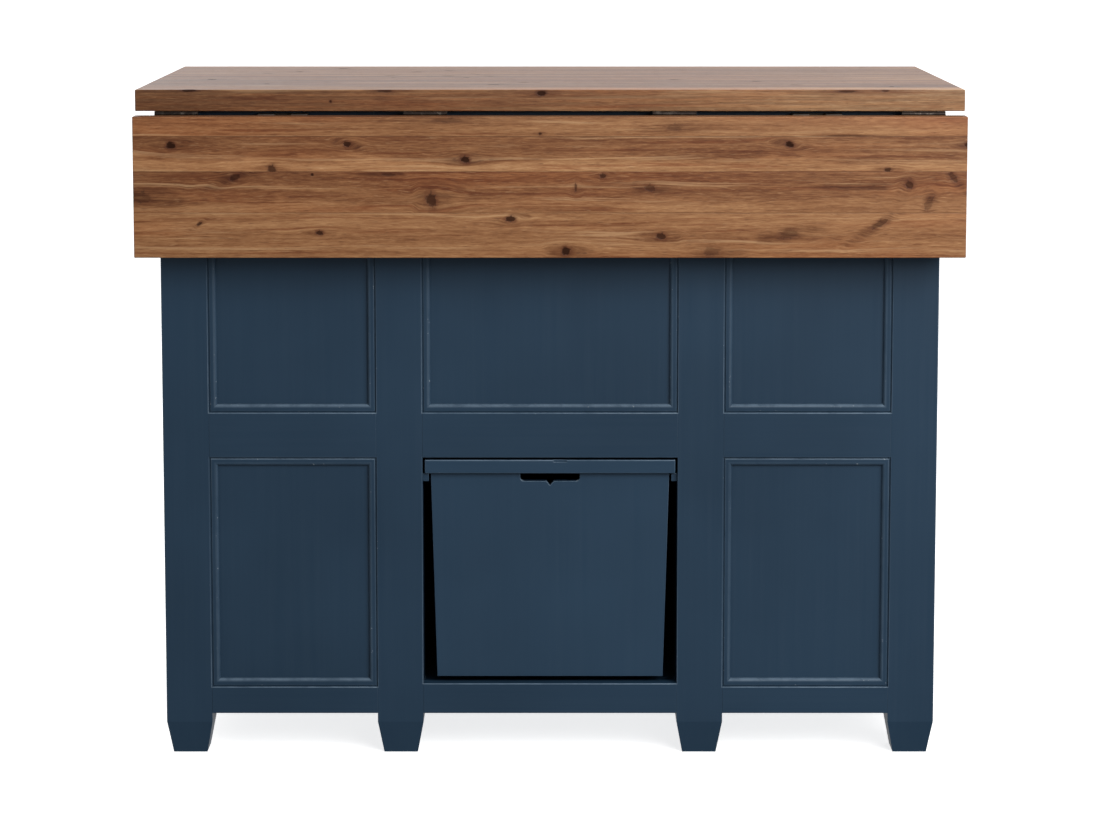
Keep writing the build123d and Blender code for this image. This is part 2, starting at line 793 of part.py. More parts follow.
# Drawers over the tub, opening on the kitchen side
drawer_spaces = {
    "lower": (mid_rail_top, divider_span[0]),
    "upper": (divider_span[1], top_rail_base),
}
front_depth = (kitchen_face - drawer_front_thick, kitchen_face)
box_half = bay_side - drawer_side_gap
box_depth = (front_depth[0] - drawer_length, front_depth[0])
bearers = []
for level, space in drawer_spaces.items():
    front_zs = grown(space, -front_gap)
    knobs = [
        knob((x, kitchen_face, middle_of(space)), drawer_front_thick)
        for x in (-knob_place, knob_place)
    ]
    with BuildPart() as drawer_front:
        slab(grown(bays["centre"], -front_gap), front_depth, front_zs)
        fillet(drawer_front.faces().sort_by(Axis.Y)[-1].edges(), paint_arris)
        add(knobs, mode=Mode.SUBTRACT)
    finish(f"drawer_{level}_front", drawer_front)

    finish_group(f"drawer_{level}_knobs", knobs)

    bearer_top = space[0] + front_gap + bearer_height
    box_zs = (bearer_top + slide_gap, bearer_top + slide_gap + drawer_height)
    bottom_zs = (box_zs[0] + drawer_bottom_rise, box_zs[0] + drawer_bottom_rise + drawer_bottom)
    inner_half = box_half - drawer_wall
    inner_depth = grown(box_depth, -drawer_wall)
    bottom_xs = grown((0, 0), inner_half + drawer_groove)
    bottom = loose_board(bottom_xs, grown(inner_depth, drawer_groove), bottom_zs)
    box = [bottom]
    for xs in ((inner_half, box_half), (-box_half, -inner_half)):
        box.append(loose_board(xs, box_depth, box_zs, bottom))
    for ys in ((box_depth[0], inner_depth[0]), (inner_depth[1], box_depth[1])):
        box.append(loose_board(grown((0, 0), inner_half), ys, box_zs, bottom))
    finish_group(f"drawer_{level}_box", box)
    bearers.append((bearer_top - bearer_height, bearer_top))

with BuildPart() as drawer_bearers:
    for zs in bearers:
        for xs in ((bay_side - bearer_width, bay_side), (-bay_side, bearer_width - bay_side)):
            slab(xs, end_run, zs)
finish("drawer_bearers", drawer_bearers)

# Cupboard doors on the kitchen side, hung on the end posts
door_zs = grown((floor_top, top_rail_base), -door_gap)
door_depth = (kitchen_face - door_thick, kitchen_face)
door_panel_depth = (
    kitchen_face - panel_recess - door_panel_thick, kitchen_face - panel_recess,
)
door_opening = grown(door_zs, -door_frame)
hinge_heights = (door_zs[0] + door_hinge_inset, door_zs[1] - door_hinge_inset)
door_hinge_size = (door_hinge_length, door_hinge_plate, door_knuckle_diameter,
                   door_pin_diameter, door_pin_proud, hinge_metal)
strike_face = (door_depth[0] - strike_thick, door_depth[0])
catch_ys = (strike_face[0] - catch_gap - catch_depth, strike_face[0] - catch_gap)
catch_zs = grown((door_knob_height, door_knob_height), catch_height / 2)
hinges = []
catches = []
for side, out in (("left", -1), ("right", 1)):
    xs = grown(bays[side], -door_gap)
    inside = grown(xs, -door_frame)
    with BuildPart() as door_panel_board:
        slab(grown(inside, panel_tongue), door_panel_depth, grown(door_opening, panel_tongue))
    rails = []
    for zs in ((door_zs[0], door_opening[0]), (door_opening[1], door_zs[1])):
        with BuildPart() as door_rail:
            rail_along_x(inside, door_depth, zs)
            add(door_panel_board.part, mode=Mode.SUBTRACT)
        rails.append(door_rail.part)
    knob_x = out * (bay_side + post + door_gap + door_frame / 2)
    handle = knob((knob_x, kitchen_face, door_knob_height), door_thick)
    let_in = [*rails, door_panel_board.part, handle]
    stiles = [
        loose_board(stile, door_depth, door_zs, let_in)
        for stile in ((xs[0], inside[0]), (inside[1], xs[1]))
    ]
    finish_group(f"door_{side}_frame", stiles + rails)
    middle = (middle_of(inside), kitchen_face, middle_of(door_opening))
    ring = round_opening(moulding_strip, length_of(inside), length_of(door_opening), middle, 180)
    finish_group(f"door_{side}_panel", [door_panel_board.part, *ring])
    with BuildPart() as door_knob:
        add(handle)
    finish(f"door_{side}_knob", door_knob)

    pin_x = out * (body_end - post - door_gap / 2)
    pin_y = kitchen_face + door_pin_proud
    flaps = []
    for z in hinge_heights:
        on_post = Plane(origin=(pin_x, pin_y, z), x_dir=(0, 0, -out), z_dir=(0, -1, 0))
        on_door = Plane(origin=(pin_x, pin_y, z), x_dir=(0, 0, out), z_dir=(0, -1, 0))
        hinges.append(on_post.location * hinge_half(*door_hinge_size, outer=True))
        flaps.append(on_door.location * hinge_half(*door_hinge_size, outer=False))
        with BuildPart() as door_pin:
            with Locations((pin_x, pin_y, z)):
                Cylinder(door_pin_diameter / 2, door_hinge_length)
        hinges.append(door_pin.part)
    catch_face = bay_side + post
    strike = sorted((out * (catch_face + door_gap), out * (catch_face + catch_width)))
    flaps.append(loose_board(strike, strike_face, catch_zs))
    finish_group(f"door_{side}_fittings", flaps)
    catch = sorted((out * catch_face, out * (catch_face + catch_width)))
    catches.append(loose_board(catch, catch_ys, catch_zs))
finish_group("door_hinges", hinges)
finish_group("door_catches", catches)
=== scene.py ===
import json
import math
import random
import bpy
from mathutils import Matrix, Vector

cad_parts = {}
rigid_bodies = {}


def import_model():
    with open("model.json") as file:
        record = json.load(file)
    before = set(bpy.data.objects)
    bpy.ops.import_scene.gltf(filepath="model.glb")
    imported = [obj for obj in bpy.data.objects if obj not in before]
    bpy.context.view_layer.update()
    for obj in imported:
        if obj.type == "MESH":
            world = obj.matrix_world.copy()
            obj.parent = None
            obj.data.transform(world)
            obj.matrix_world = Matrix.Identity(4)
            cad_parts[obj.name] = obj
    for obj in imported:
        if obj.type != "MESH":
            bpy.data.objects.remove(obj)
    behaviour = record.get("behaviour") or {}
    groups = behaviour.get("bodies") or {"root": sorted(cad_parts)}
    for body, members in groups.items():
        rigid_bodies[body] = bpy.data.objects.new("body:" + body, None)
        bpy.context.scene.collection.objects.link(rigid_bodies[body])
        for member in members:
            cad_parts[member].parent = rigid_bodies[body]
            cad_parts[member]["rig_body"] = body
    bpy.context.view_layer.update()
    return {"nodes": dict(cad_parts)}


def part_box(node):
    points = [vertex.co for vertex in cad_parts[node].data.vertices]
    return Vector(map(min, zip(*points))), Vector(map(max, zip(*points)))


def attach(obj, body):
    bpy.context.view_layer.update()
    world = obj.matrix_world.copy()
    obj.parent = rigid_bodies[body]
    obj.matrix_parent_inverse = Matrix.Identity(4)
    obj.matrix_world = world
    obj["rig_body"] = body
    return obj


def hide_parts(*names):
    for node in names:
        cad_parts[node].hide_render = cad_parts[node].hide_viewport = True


bl_info = {
    "name": "Bar Counter",
    "version": (1, 0, 0),
    "blender": (4, 5, 0),
    "location": "3D View > Sidebar > Counter",
    "description": "Dresses the packed bar counter in wood, paint and fittings",
    "category": "Object",
}

import bmesh
import bpy
from bpy.props import FloatProperty, FloatVectorProperty, IntProperty, PointerProperty
from bpy.types import NodeSocket, Operator, Panel, PropertyGroup
from mathutils import Matrix, Vector

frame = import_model()

MM = 0.001
X, Y, Z = 0, 1, 2
# Points closer than this are one point
WELD = 0.001 * MM


def srgb(red, green, blue):
    """A colour as a paint chart gives it, from 0 to 255, in the linear numbers that shaders use."""
    def linear(level):
        level /= 255
        return level / 12.92 if level <= 0.04045 else ((level + 0.055) / 1.055) ** 2.4
    return (linear(red), linear(green), linear(blue))


class Wires:
    """Adds nodes to a tree and joins their sockets by name."""

    def __init__(self, tree):
        self.tree = tree

    def join(self, value, socket):
        if isinstance(value, NodeSocket):
            self.tree.links.new(value, socket)
        elif socket.type == "RGBA" and len(value) == 3:
            socket.default_value = (*value, 1)
        else:
            socket.default_value = value

    def add(self, kind, out=0, settings=(), **inputs):
        node = self.tree.nodes.new(kind)
        for name, value in dict(settings).items():
            setattr(node, name, value)
        for name, value in inputs.items():
            spoken = name.replace("_", " ")
            named = [s for s in node.inputs if s.identifier == name]
            named += [s for s in node.inputs if s.name == spoken and s.enabled]
            self.join(value, named[0])
        return node.outputs[out]

    def math(self, operation, *values):
        node = self.tree.nodes.new("ShaderNodeMath")
        node.operation = operation
        for value, socket in zip(values, node.inputs):
            self.join(value, socket)
        return node.outputs[0]

    def plus(self, a, b):
        return self.math("ADD", a, b)

    def times(self, a, b):
        return self.math("MULTIPLY", a, b)

    def vector(self, operation, *values):
        node = self.tree.nodes.new("ShaderNodeVectorMath")
        node.operation = operation
        for value, socket in zip(values, node.inputs):
            self.join(value, socket)
        return node.outputs["Value" if operation == "LENGTH" else "Vector"]

    def parts(self, vector):
        node = self.tree.nodes.new("ShaderNodeSeparateXYZ")
        self.join(vector, node.inputs[0])
        return node.outputs[0], node.outputs[1], node.outputs[2]

    def whole(self, x, y, z):
        return self.add("ShaderNodeCombineXYZ", X=x, Y=y, Z=z)

    def noise(self, where, stretch, detail=2.0, roughness=0.5, distortion=0.0):
        """Noise whose spots repeat so many times a metre along X, Y and Z."""
        scaled = self.vector("MULTIPLY", where, stretch)
        return self.add("ShaderNodeTexNoise", Vector=scaled, Scale=1.0, Detail=detail,
                        Roughness=roughness, Distortion=distortion)

    def spread(self, value, low, high, to_low=0.0, to_high=1.0):
        """A smooth step of the value from one span to another."""
        return self.add("ShaderNodeMapRange", settings={"interpolation_type": "SMOOTHSTEP"},
                        Value=value, From_Min=low, From_Max=high, To_Min=to_low, To_Max=to_high)

    def between(self, factor, a, b):
        """A number between a and b."""
        return self.add("ShaderNodeMix", settings={"data_type": "FLOAT"},
                        Factor_Float=factor, A_Float=a, B_Float=b)

    def colour(self, factor, a, b, blend="MIX"):
        settings = {"data_type": "RGBA", "blend_type": blend, "clamp_factor": False}
        return self.add("ShaderNodeMix", 2, settings, Factor_Float=factor, A_Color=a, B_Color=b)

    def ramp(self, value, stops):
        node = self.tree.nodes.new("ShaderNodeValToRGB")
        self.join(value, node.inputs[0])
        marks = node.color_ramp.elements
        while len(marks) < len(stops):
            marks.new(0.5)
        for mark, (place, colour) in zip(marks, stops):
            mark.position = place
            mark.color = (*colour, 1)
        return node.outputs[0]


def new_material(name):
    material = bpy.data.materials.new(name)
    material.use_nodes = True
    material.node_tree.nodes.clear()
    wires = Wires(material.node_tree)
    return material, wires, wires.add("ShaderNodeTexCoord", "Object")


def finish_material(wires, colour, roughness, height, **shader):
    """Ends a material: its bump, its shader and its output."""
    normal = wires.add("ShaderNodeBump", Height=height, Distance=1.0, Strength=1.0)
    surface = wires.add("ShaderNodeBsdfPrincipled", Base_Color=colour, Roughness=roughness,
                        Normal=normal, **shader)
    wires.join(surface, wires.tree.nodes.new("ShaderNodeOutputMaterial").inputs["Surface"])


def glued_wood(name, wood, turn, gloss):
    """Knotty hardwood staves. turn lays the staves' width along Y in the pattern's own space.

    The board's corners carry what it reads. stave is the stave's number and how far the point is
    from each of its edges. look is its tone at either edge, where that changes, and its drift along
    the board. knot is the place in half-widths from the cell's knot, knot_look is that knot's
    darkness, stain, half-width times darkness and number, and cell is how far the point is from
    either end of the stretch of stave that the knot has to itself.
    """
    material, wires, place = new_material(name)
    grain = wires.add("ShaderNodeMapping", Vector=place, Rotation=(turn, 0, 0))

    def carried(attribute):
        node = wires.tree.nodes.new("ShaderNodeAttribute")
        node.attribute_name = attribute
        return *wires.parts(node.outputs["Vector"]), node.outputs["Vector"], node.outputs["Alpha"]

    number, start, end, _, _ = carried("stave")
    tone_start, tone_end, change, _, drift = carried("look")
    _, above, _, from_knot, _ = carried("knot")
    darkness, stained, half_width, _, knot_number = carried("knot_look")
    left, right, _, _, _ = carried("cell")

    def centred(value):
        return wires.math("SUBTRACT", value, 0.5)

    fade = wires.spread(wires.math("MINIMUM", left, right), 0.0, 0.014)
    own = wires.vector("ADD", from_knot, wires.whole(wires.times(knot_number, 5.3), 0.0, knot_number))
    blot = wires.times(centred(wires.noise(own, (0.9, 1.1, 0.6), 4, 0.62)), 1.5)
    far = wires.vector("LENGTH", from_knot)
    long = wires.vector("LENGTH", wires.vector("MULTIPLY", from_knot, (0.36, 1, 1)))
    reach = wires.plus(far, blot)
    part = wires.times(wires.times(above, half_width), wires.spread(long, 3.2, 0.4, 0.0, 0.85))
    part = wires.times(part, fade)

    shifted = wires.vector("ADD", grain, wires.whole(wires.times(number, 3.71), wires.times(number, 0.83),
                                                     wires.times(number, 0.57)))
    parted = wires.vector("SUBTRACT", shifted, wires.whole(0.0, part, 0.0))
    sway = wires.noise(parted, (1.4, 9, 9), 3, 0.55)
    swayed = wires.vector("ADD", parted, wires.whole(0.0, wires.times(sway, 0.02), wires.times(sway, 0.014)))
    broad = wires.noise(swayed, (1.9, 30, 30), 3, 0.6, 0.5)
    mottle = wires.noise(swayed, (13, 95, 95), 3, 0.65, 0.8)
    lines = wires.noise(swayed, (5.5, 270, 270), 4, 0.65, 0.5)
    veins = wires.noise(swayed, (2.4, 105, 105), 3, 0.62, 0.6)
    threads = wires.noise(swayed, (48, 430, 430), 3, 0.68, 0.4)
    hairs = wires.noise(swayed, (70, 1500, 1500), 2, 0.6)
    flecks = wires.noise(swayed, (62, 700, 700), 2, 0.5)
    span = wires.vector("LENGTH", wires.vector("MULTIPLY", swayed, (0, 1, 1.6)))
    ring = wires.math("FRACT", wires.plus(wires.times(span, 95), wires.times(broad, 2.5)))
    late = wires.times(wires.math("POWER", ring, 3.0), wires.spread(mottle, 0.35, 0.6))

    width = wires.plus(start, end)
    local = wires.math("DIVIDE", start, width)
    waver = wires.times(centred(wires.noise(parted, (4.2, 40, 40), 4, 0.62)), 1.7)
    changed = wires.spread(wires.plus(local, waver), wires.math("SUBTRACT", change, 0.14),
                           wires.plus(change, 0.14))
    tone = wires.between(changed, tone_start, tone_end)
    tone = wires.plus(tone, wires.times(drift, wires.parts(grain)[X]))
    for layer, strength in ((broad, wood.broad_contrast), (mottle, wood.mottle_contrast),
                            (lines, wood.line_contrast), (threads, wood.thread_contrast),
                            (hairs, wood.hair_contrast)):
        tone = wires.plus(tone, wires.times(centred(layer), strength))
    tone = wires.math("SUBTRACT", tone, wires.times(late, 0.09))

    heading = wires.vector("ADD", wires.vector("NORMALIZE", from_knot), wires.whole(0.0, 0.0, knot_number))
    rays = wires.spread(wires.noise(heading, (2.4, 2.4, 2.4), 2, 0.6), 0.55, 0.62)
    heart = wires.spread(reach, 1.15, 0.88)
    split = wires.times(wires.times(rays, heart), wires.math("SQRT", darkness))
    core = wires.times(darkness, wires.spread(reach, 1.0, 0.66))
    collar = wires.times(darkness, wires.times(wires.spread(reach, 1.7, 1.0), wires.spread(reach, 0.6, 1.0)))
    streaked = wires.plus(0.25, wires.spread(lines, 0.62, 0.4))
    stain = wires.times(wires.spread(wires.plus(long, wires.times(blot, 0.6)), 2.3, 0.5), streaked)
    stain = wires.times(wires.times(stained, fade), stain)

    stops = (wood.darkest, wood.dark, wood.middle, wood.light, wood.lightest)
    colour = wires.ramp(tone, [(step / 4, tuple(stop)) for step, stop in enumerate(stops)])
    redder = wires.spread(wires.noise(shifted, (1.3, 12, 12), 3, 0.55), 0.46, 0.7, 0.0, 0.7)
    colour = wires.colour(redder, colour, tuple(wood.blush), "MULTIPLY")
    colour = wires.colour(wires.spread(veins, 0.55, 0.67, 0.0, 0.75), colour, tuple(wood.vein), "MULTIPLY")
    colour = wires.colour(wires.spread(veins, 0.44, 0.3, 0.0, 0.45), colour, tuple(wood.lightest), "MIX")
    fleck = wires.spread(flecks, 0.61, 0.72)
    pale = wires.spread(flecks, 0.4, 0.3)
    colour = wires.colour(wires.times(fleck, 0.42), colour, tuple(wood.pore), "MIX")
    colour = wires.colour(wires.times(pale, 0.2), colour, tuple(wood.lightest), "MIX")
    colour = wires.colour(wires.times(stain, 0.75), colour, tuple(wood.knot_stain), "MULTIPLY")
    brown = wires.times(heart, wires.plus(0.1, wires.times(darkness, 0.6)))
    colour = wires.colour(wires.math("MAXIMUM", wires.times(collar, 0.6), brown), colour, tuple(wood.collar))
    black = wires.math("MAXIMUM", wires.times(core, 0.94), wires.times(split, 0.75))
    colour = wires.colour(black, colour, tuple(wood.knot_core))
    seam = wires.spread(wires.math("MINIMUM", start, end), 0.0008, 0.0002)
    seam = wires.times(seam, wires.spread(lines, 0.35, 0.6, 0.3, 1.0))
    colour = wires.colour(wires.times(seam, 0.5), colour, tuple(wood.knot_core))
    facing = wires.parts(wires.add("ShaderNodeTexCoord", "Normal"))[X]
    end_grain = wires.spread(wires.math("ABSOLUTE", facing), 0.6, 0.9)
    pores = wires.noise(grain, (1300, 1300, 1300), 2, 0.5)
    colour = wires.colour(wires.times(end_grain, wires.spread(pores, 0.3, 0.7, 0.3, 0.6)), colour,
                          tuple(wood.dark), "MULTIPLY")

    roughness = wires.plus(wood.roughness, wires.times(centred(lines), 0.2))
    roughness = wires.plus(roughness, wires.times(wires.plus(fleck, core), 0.2))
    height = wires.times(wires.plus(wires.times(lines, 0.5), threads), 0.00004)
    height = wires.math("SUBTRACT", height, wires.times(fleck, 0.00005))
    height = wires.math("SUBTRACT", height, wires.times(core, 0.0003))
    height = wires.math("SUBTRACT", height, wires.times(seam, 0.0001))
    dull = wires.math("SUBTRACT", gloss, wires.times(core, gloss * 0.8))
    finish_material(wires, colour, roughness, height, Specular_IOR_Level=dull)
    return material


def plain_wood(name, run, light, dark):
    """Clear wood, grain along the axis given."""
    material, wires, place = new_material(name)
    stretch = [34.0, 34.0, 34.0]
    stretch[run] = 1.6
    fine = [900.0, 900.0, 900.0]
    fine[run] = 30.0
    broad = wires.noise(place, tuple(stretch), 4, 0.6, 0.8)
    threads = wires.noise(place, tuple(fine), 3, 0.6)
    bands = wires.math("FRACT", wires.times(broad, 9.0))
    tone = wires.plus(wires.times(bands, 0.45), wires.times(threads, 0.55))
    colour = wires.ramp(tone, [(0.15, light), (0.85, dark)])
    roughness = wires.spread(threads, 0.2, 0.8, 0.48, 0.66)
    height = wires.times(wires.plus(threads, wires.times(bands, 0.3)), 0.00005)
    finish_material(wires, colour, roughness, height)
    return material


def satin_paint(name, paint, run, freshness=0.0):
    """Satin paint laid off with a brush along the axis given, rubbed thin and chipped on the marked arrises,
    and lightened there as a painted highlight where they face up.

    Freshness makes it paler, up to the colour of its clouds and beyond.
    """
    material, wires, place = new_material(name)
    across = [760.0, 760.0, 760.0]
    across[run] = 5.0
    grain = [130.0, 130.0, 130.0]
    grain[run] = 2.2
    strokes = wires.noise(place, tuple(across), 3, 0.55, 0.3)
    telegraph = wires.noise(place, tuple(grain), 4, 0.6, 0.5)
    clouds = wires.noise(place, (3.4, 3.4, 3.4), 3, 0.55)
    specks = wires.spread(wires.noise(place, (520, 520, 520), 1, 0.5), 0.72, 0.82)
    clouded = wires.plus(wires.spread(clouds, 0.25, 0.75), freshness)
    colour = wires.colour(clouded, tuple(paint.colour), tuple(paint.cloud))
    lift = wires.plus(wires.times(strokes, 0.5), wires.times(telegraph, 0.5))
    colour = wires.colour(wires.spread(lift, 0.3, 0.8, 0.0, 0.018), colour, tuple(paint.worn_and_highlight_colour))
    worn = wires.add("ShaderNodeAttribute", "Fac", {"attribute_name": "worn"})
    # The pale mark on the marked arrises is part rubbed paint and part painted highlight: it grows the more
    # they face up, as light from above would.
    painted_top_light = wires.parts(wires.add("ShaderNodeTexCoord", "Normal"))[Z]
    painted_top_light = wires.spread(painted_top_light, -0.1, 0.75, 0.16, 1.0)
    patchy = wires.spread(wires.noise(place, (38, 38, 38), 4, 0.7), 0.3, 0.6, 0.5, 1.0)
    rubbed = wires.times(wires.times(worn, paint.wear_and_highlight), wires.times(painted_top_light, patchy))
    colour = wires.colour(rubbed, colour, tuple(paint.worn_and_highlight_colour))
    chips = wires.spread(wires.noise(place, (210, 210, 210), 2, 0.6), 0.71, 0.74)
    colour = wires.colour(wires.times(wires.times(chips, worn), 0.7), colour, tuple(paint.chip_colour))
    roughness = wires.spread(lift, 0.2, 0.85, paint.roughness - 0.05, paint.roughness + 0.08)
    height = wires.times(wires.plus(strokes, wires.times(telegraph, 1.4)), 0.000004)
    height = wires.plus(height, wires.times(specks, 0.00005))
    finish_material(wires, colour, roughness, height, Specular_IOR_Level=paint.gloss)
    return material


def aged_metal(name, colour, bright, roughness, scratch, rubbed_from=0.45):
    """Metal that has darkened, with brighter rubbed patches and fine scratches."""
    material, wires, place = new_material(name)
    clouds = wires.noise(place, (90, 90, 90), 4, 0.65, 0.4)
    grit = wires.noise(place, (1600, 1600, 1600), 2, 0.6)
    lines = wires.noise(place, (2600, 130, 2600), 2, 0.5)
    rubbed = wires.spread(wires.plus(wires.times(clouds, 0.7), wires.times(lines, 0.3)), rubbed_from, 0.7)
    shade = wires.colour(rubbed, colour, bright)
    rough = wires.plus(roughness, wires.times(wires.math("SUBTRACT", grit, 0.5), 0.25))
    height = wires.times(wires.plus(grit, wires.times(lines, scratch)), 0.00002)
    finish_material(wires, shade, rough, height, Metallic=1.0)
    return material


def grey_felt(name):
    material, wires, place = new_material(name)
    fibres = wires.noise(place, (900, 900, 900), 4, 0.7, 1.5)
    colour = wires.ramp(fibres, [(0.2, srgb(52, 50, 48)), (0.8, srgb(94, 90, 86))])
    finish_material(wires, colour, 0.95, wires.times(fibres, 0.0004), Sheen_Weight=0.3)
    return material


class Knot:
    """A knot by its place along and across its board, in millimetres, and its half-widths.

    It runs right through the board, unless it has a level, in the board's thickness, and a sunk.
    """

    def __init__(self, along, across, long, wide, turn=0.0, dark=1.0, stain=1.0, level=None, sunk=60.0):
        self.along, self.across, self.level = along * MM, across * MM, level and level * MM
        self.number = along % 7
        self.size = Vector((long, wide, sunk)) * MM
        self.turn = Matrix.Rotation(math.radians(-turn), 3, "Z")
        self.dark, self.stain = dark, stain

    def seen_from(self, point):
        """Where the point is from the knot, in the knot's half-widths."""
        away = self.turn @ (point - Vector((self.along, self.across, self.level)))
        return Vector(away[axis] / self.size[axis] for axis in range(3))


class Stave:
    """A stave by where it ends across the board, its look and its knots.

    The look is its tone at its first and second edge, where that changes, and its drift along it.
    """

    def __init__(self, ends, first, second, change, drift=0.0, knots=()):
        self.ends = ends and ends * MM
        self.look = (first, second, change, drift)
        self.knots = sorted(knots, key=lambda knot: knot.along)


def merged(node):
    """A copy of a CAD node's mesh with its loose triangles joined into whole faces."""
    shape = bmesh.new()
    shape.from_mesh(frame["nodes"][node].data)
    bmesh.ops.remove_doubles(shape, verts=shape.verts, dist=WELD)
    bmesh.ops.dissolve_limit(shape, angle_limit=math.radians(0.4), verts=shape.verts, edges=shape.edges)
    return shape


def islands(node):
    """The separate solids in a CAD node, each as the list of its points, always in the same order."""
    shape = bmesh.new()
    shape.from_mesh(frame["nodes"][node].data)
    bmesh.ops.remove_doubles(shape, verts=shape.verts, dist=WELD)
    left = set(shape.verts)
    found = []
    for first in shape.verts:
        if first not in left:
            continue
        left.remove(first)
        queue = [first]
        group = []
        while queue:
            vertex = queue.pop()
            group.append(vertex.co.copy())
            for edge in vertex.link_edges:
                other = edge.other_vert(vertex)
                if other in left:
                    left.remove(other)
                    queue.append(other)
        found.append(group)
    shape.free()
    return sorted(found, key=lambda group: [round(level, 5) for level in span_of(group)[0]])


def span_of(points):
    """The lowest and highest corners round some points."""
    low = Vector(min(p[axis] for p in points) for axis in range(3))
    high = Vector(max(p[axis] for p in points) for axis in range(3))
    return low, high


def body_of_node(node):
    return frame["nodes"][node]["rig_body"]


def shade(mesh, angle=32.0):
    """Smooth shading, apart from edges sharper than the angle."""
    for face in mesh.polygons:
        face.use_smooth = True
    mesh.set_sharp_from_angle(angle=math.radians(angle))


# A rounded strip is narrower than this
STRIP_WIDTH = 2.2 * MM


def shade_narrow(shape):
    """Smooth shading for narrow rounded strips only, so that broad faces stay flat. Marks them for rubbed and
    chipped paint and for a painted highlight.
    """
    layer = shape.faces.layers.float.new("worn")
    gentle = math.radians(50)
    for face in shape.faces:
        longest = max(edge.calc_length() for edge in face.edges)
        strip = face.calc_area() / longest < STRIP_WIDTH
        rounded = any(
            len(edge.link_faces) == 2 and edge.is_convex and math.radians(2) < edge.calc_face_angle() < gentle
            for edge in face.edges
        )
        face.smooth = strip and rounded
        face[layer] = float(face.smooth)
    for edge in shape.edges:
        edge.smooth = len(edge.link_faces) == 2 and edge.calc_face_angle() < gentle


def place_piece(name, mesh, material, nodes):
    """Adds a finished mesh as the piece that stands for some CAD nodes, all on one body."""
    mesh.name = name
    piece = bpy.data.objects.new(name, mesh)
    bpy.context.scene.collection.objects.link(piece)
    mesh.materials.clear()
    mesh.materials.append(material)
    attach(piece, body_of_node(nodes[0]))
    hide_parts(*nodes)


def paint_node(node, material):
    """Gives a CAD node that stays its material."""
    mesh = frame["nodes"][node].data
    mesh.materials.clear()
    mesh.materials.append(material)


def softened(node, material, width):
    """Replaces a CAD node by its own shape with every sharp outer edge rounded and marked for rubbed and
    chipped paint and a painted highlight.
    """
    shape = merged(node)
    sharp = [
        edge for edge in shape.edges
        if len(edge.link_faces) == 2 and edge.is_convex and edge.calc_face_angle() > math.radians(35)
    ]
    bmesh.ops.bevel(shape, geom=sharp, offset=width, segments=2, profile=0.5,
                    affect="EDGES", clamp_overlap=True)
    bmesh.ops.dissolve_degenerate(shape, dist=WELD, edges=shape.edges)
    shade_narrow(shape)
    mesh = bpy.data.meshes.new(node)
    shape.to_mesh(mesh)
    shape.free()
    place_piece(f"{node}_eased", mesh, material, [node])


def smoothed(node, material, extra=()):
    """Replaces a CAD node by its own shape, smoothly shaded, with any extra meshes joined to it."""
    shape = merged(node)
    mesh = bpy.data.meshes.new(node)
    shape.to_mesh(mesh)
    shape.free()
    whole = joined([mesh, *extra])
    shade(whole, 30)
    place_piece(f"{node}_smooth", whole, material, [node])


def board_of(points):
    """A plain board as large as the solid whose points are given."""
    low, high = span_of(points)
    shape = bmesh.new()
    bmesh.ops.create_cube(shape, size=1, matrix=Matrix.Translation((low + high) / 2)
                          @ Matrix.Diagonal((*(high - low), 1)))
    mesh = bpy.data.meshes.new("Board")
    shape.to_mesh(mesh)
    shape.free()
    return mesh


class Tree:
    """A geometry node tree: its inputs by name, its nodes through Wires."""

    kinds = {"length": ("NodeSocketFloat", "DISTANCE"), "turn": ("NodeSocketVector", "EULER"),
             "place": ("NodeSocketVector", "TRANSLATION"), "count": ("NodeSocketInt", "NONE"),
             "material": ("NodeSocketMaterial", None)}

    def __init__(self, name, **inputs):
        self.tree = bpy.data.node_groups.new(name, "GeometryNodeTree")
        face = self.tree.interface
        face.new_socket("Geometry", in_out="INPUT", socket_type="NodeSocketGeometry")
        self.names = {}
        for key, kind in inputs.items():
            socket_type, subtype = self.kinds[kind]
            socket = face.new_socket(key.replace("_", " "), in_out="INPUT", socket_type=socket_type)
            if subtype:
                socket.subtype = subtype
            self.names[key] = socket.identifier
        face.new_socket("Geometry", in_out="OUTPUT", socket_type="NodeSocketGeometry")
        self.wires = Wires(self.tree)
        given = self.tree.nodes.new("NodeGroupInput")
        self.points = given.outputs[0]
        self.given = {key: given.outputs[key.replace("_", " ")] for key in inputs}

    def end(self, geometry):
        """Ends the tree in plain mesh with its material."""
        plain = self.wires.add("GeometryNodeRealizeInstances", Geometry=geometry)
        dressed = self.wires.add("GeometryNodeSetMaterial", Geometry=plain,
                                 Material=self.given["Material"])
        self.wires.join(dressed, self.tree.nodes.new("NodeGroupOutput").inputs[0])

    def grown(self, points, **values):
        """The plain mesh that the tree makes from some points: each a place and its attributes."""
        seed = bpy.data.meshes.new("Points")
        seed.from_pydata([place for place, _ in points], [], [])
        for key in points[0][1]:
            layer = seed.attributes.new(key, "FLOAT_VECTOR", "POINT")
            for number, (_, held) in enumerate(points):
                layer.data[number].vector = held[key]
        holder = bpy.data.objects.new("Points", seed)
        bpy.context.scene.collection.objects.link(holder)
        modifier = holder.modifiers.new(self.tree.name, "NODES")
        modifier.node_group = self.tree
        for key, value in values.items():
            modifier[self.names[key]] = value
        graph = bpy.context.evaluated_depsgraph_get()
        mesh = bpy.data.meshes.new_from_object(holder.evaluated_get(graph), depsgraph=graph)
        bpy.data.objects.remove(holder)
        bpy.data.meshes.remove(seed)
        return mesh


def joined(meshes):
    """One mesh from several, which are used up."""
    shape = bmesh.new()
    for mesh in meshes:
        shape.from_mesh(mesh)
        bpy.data.meshes.remove(mesh)
    whole = bpy.data.meshes.new("Joined")
    shape.to_mesh(whole)
    shape.free()
    return whole


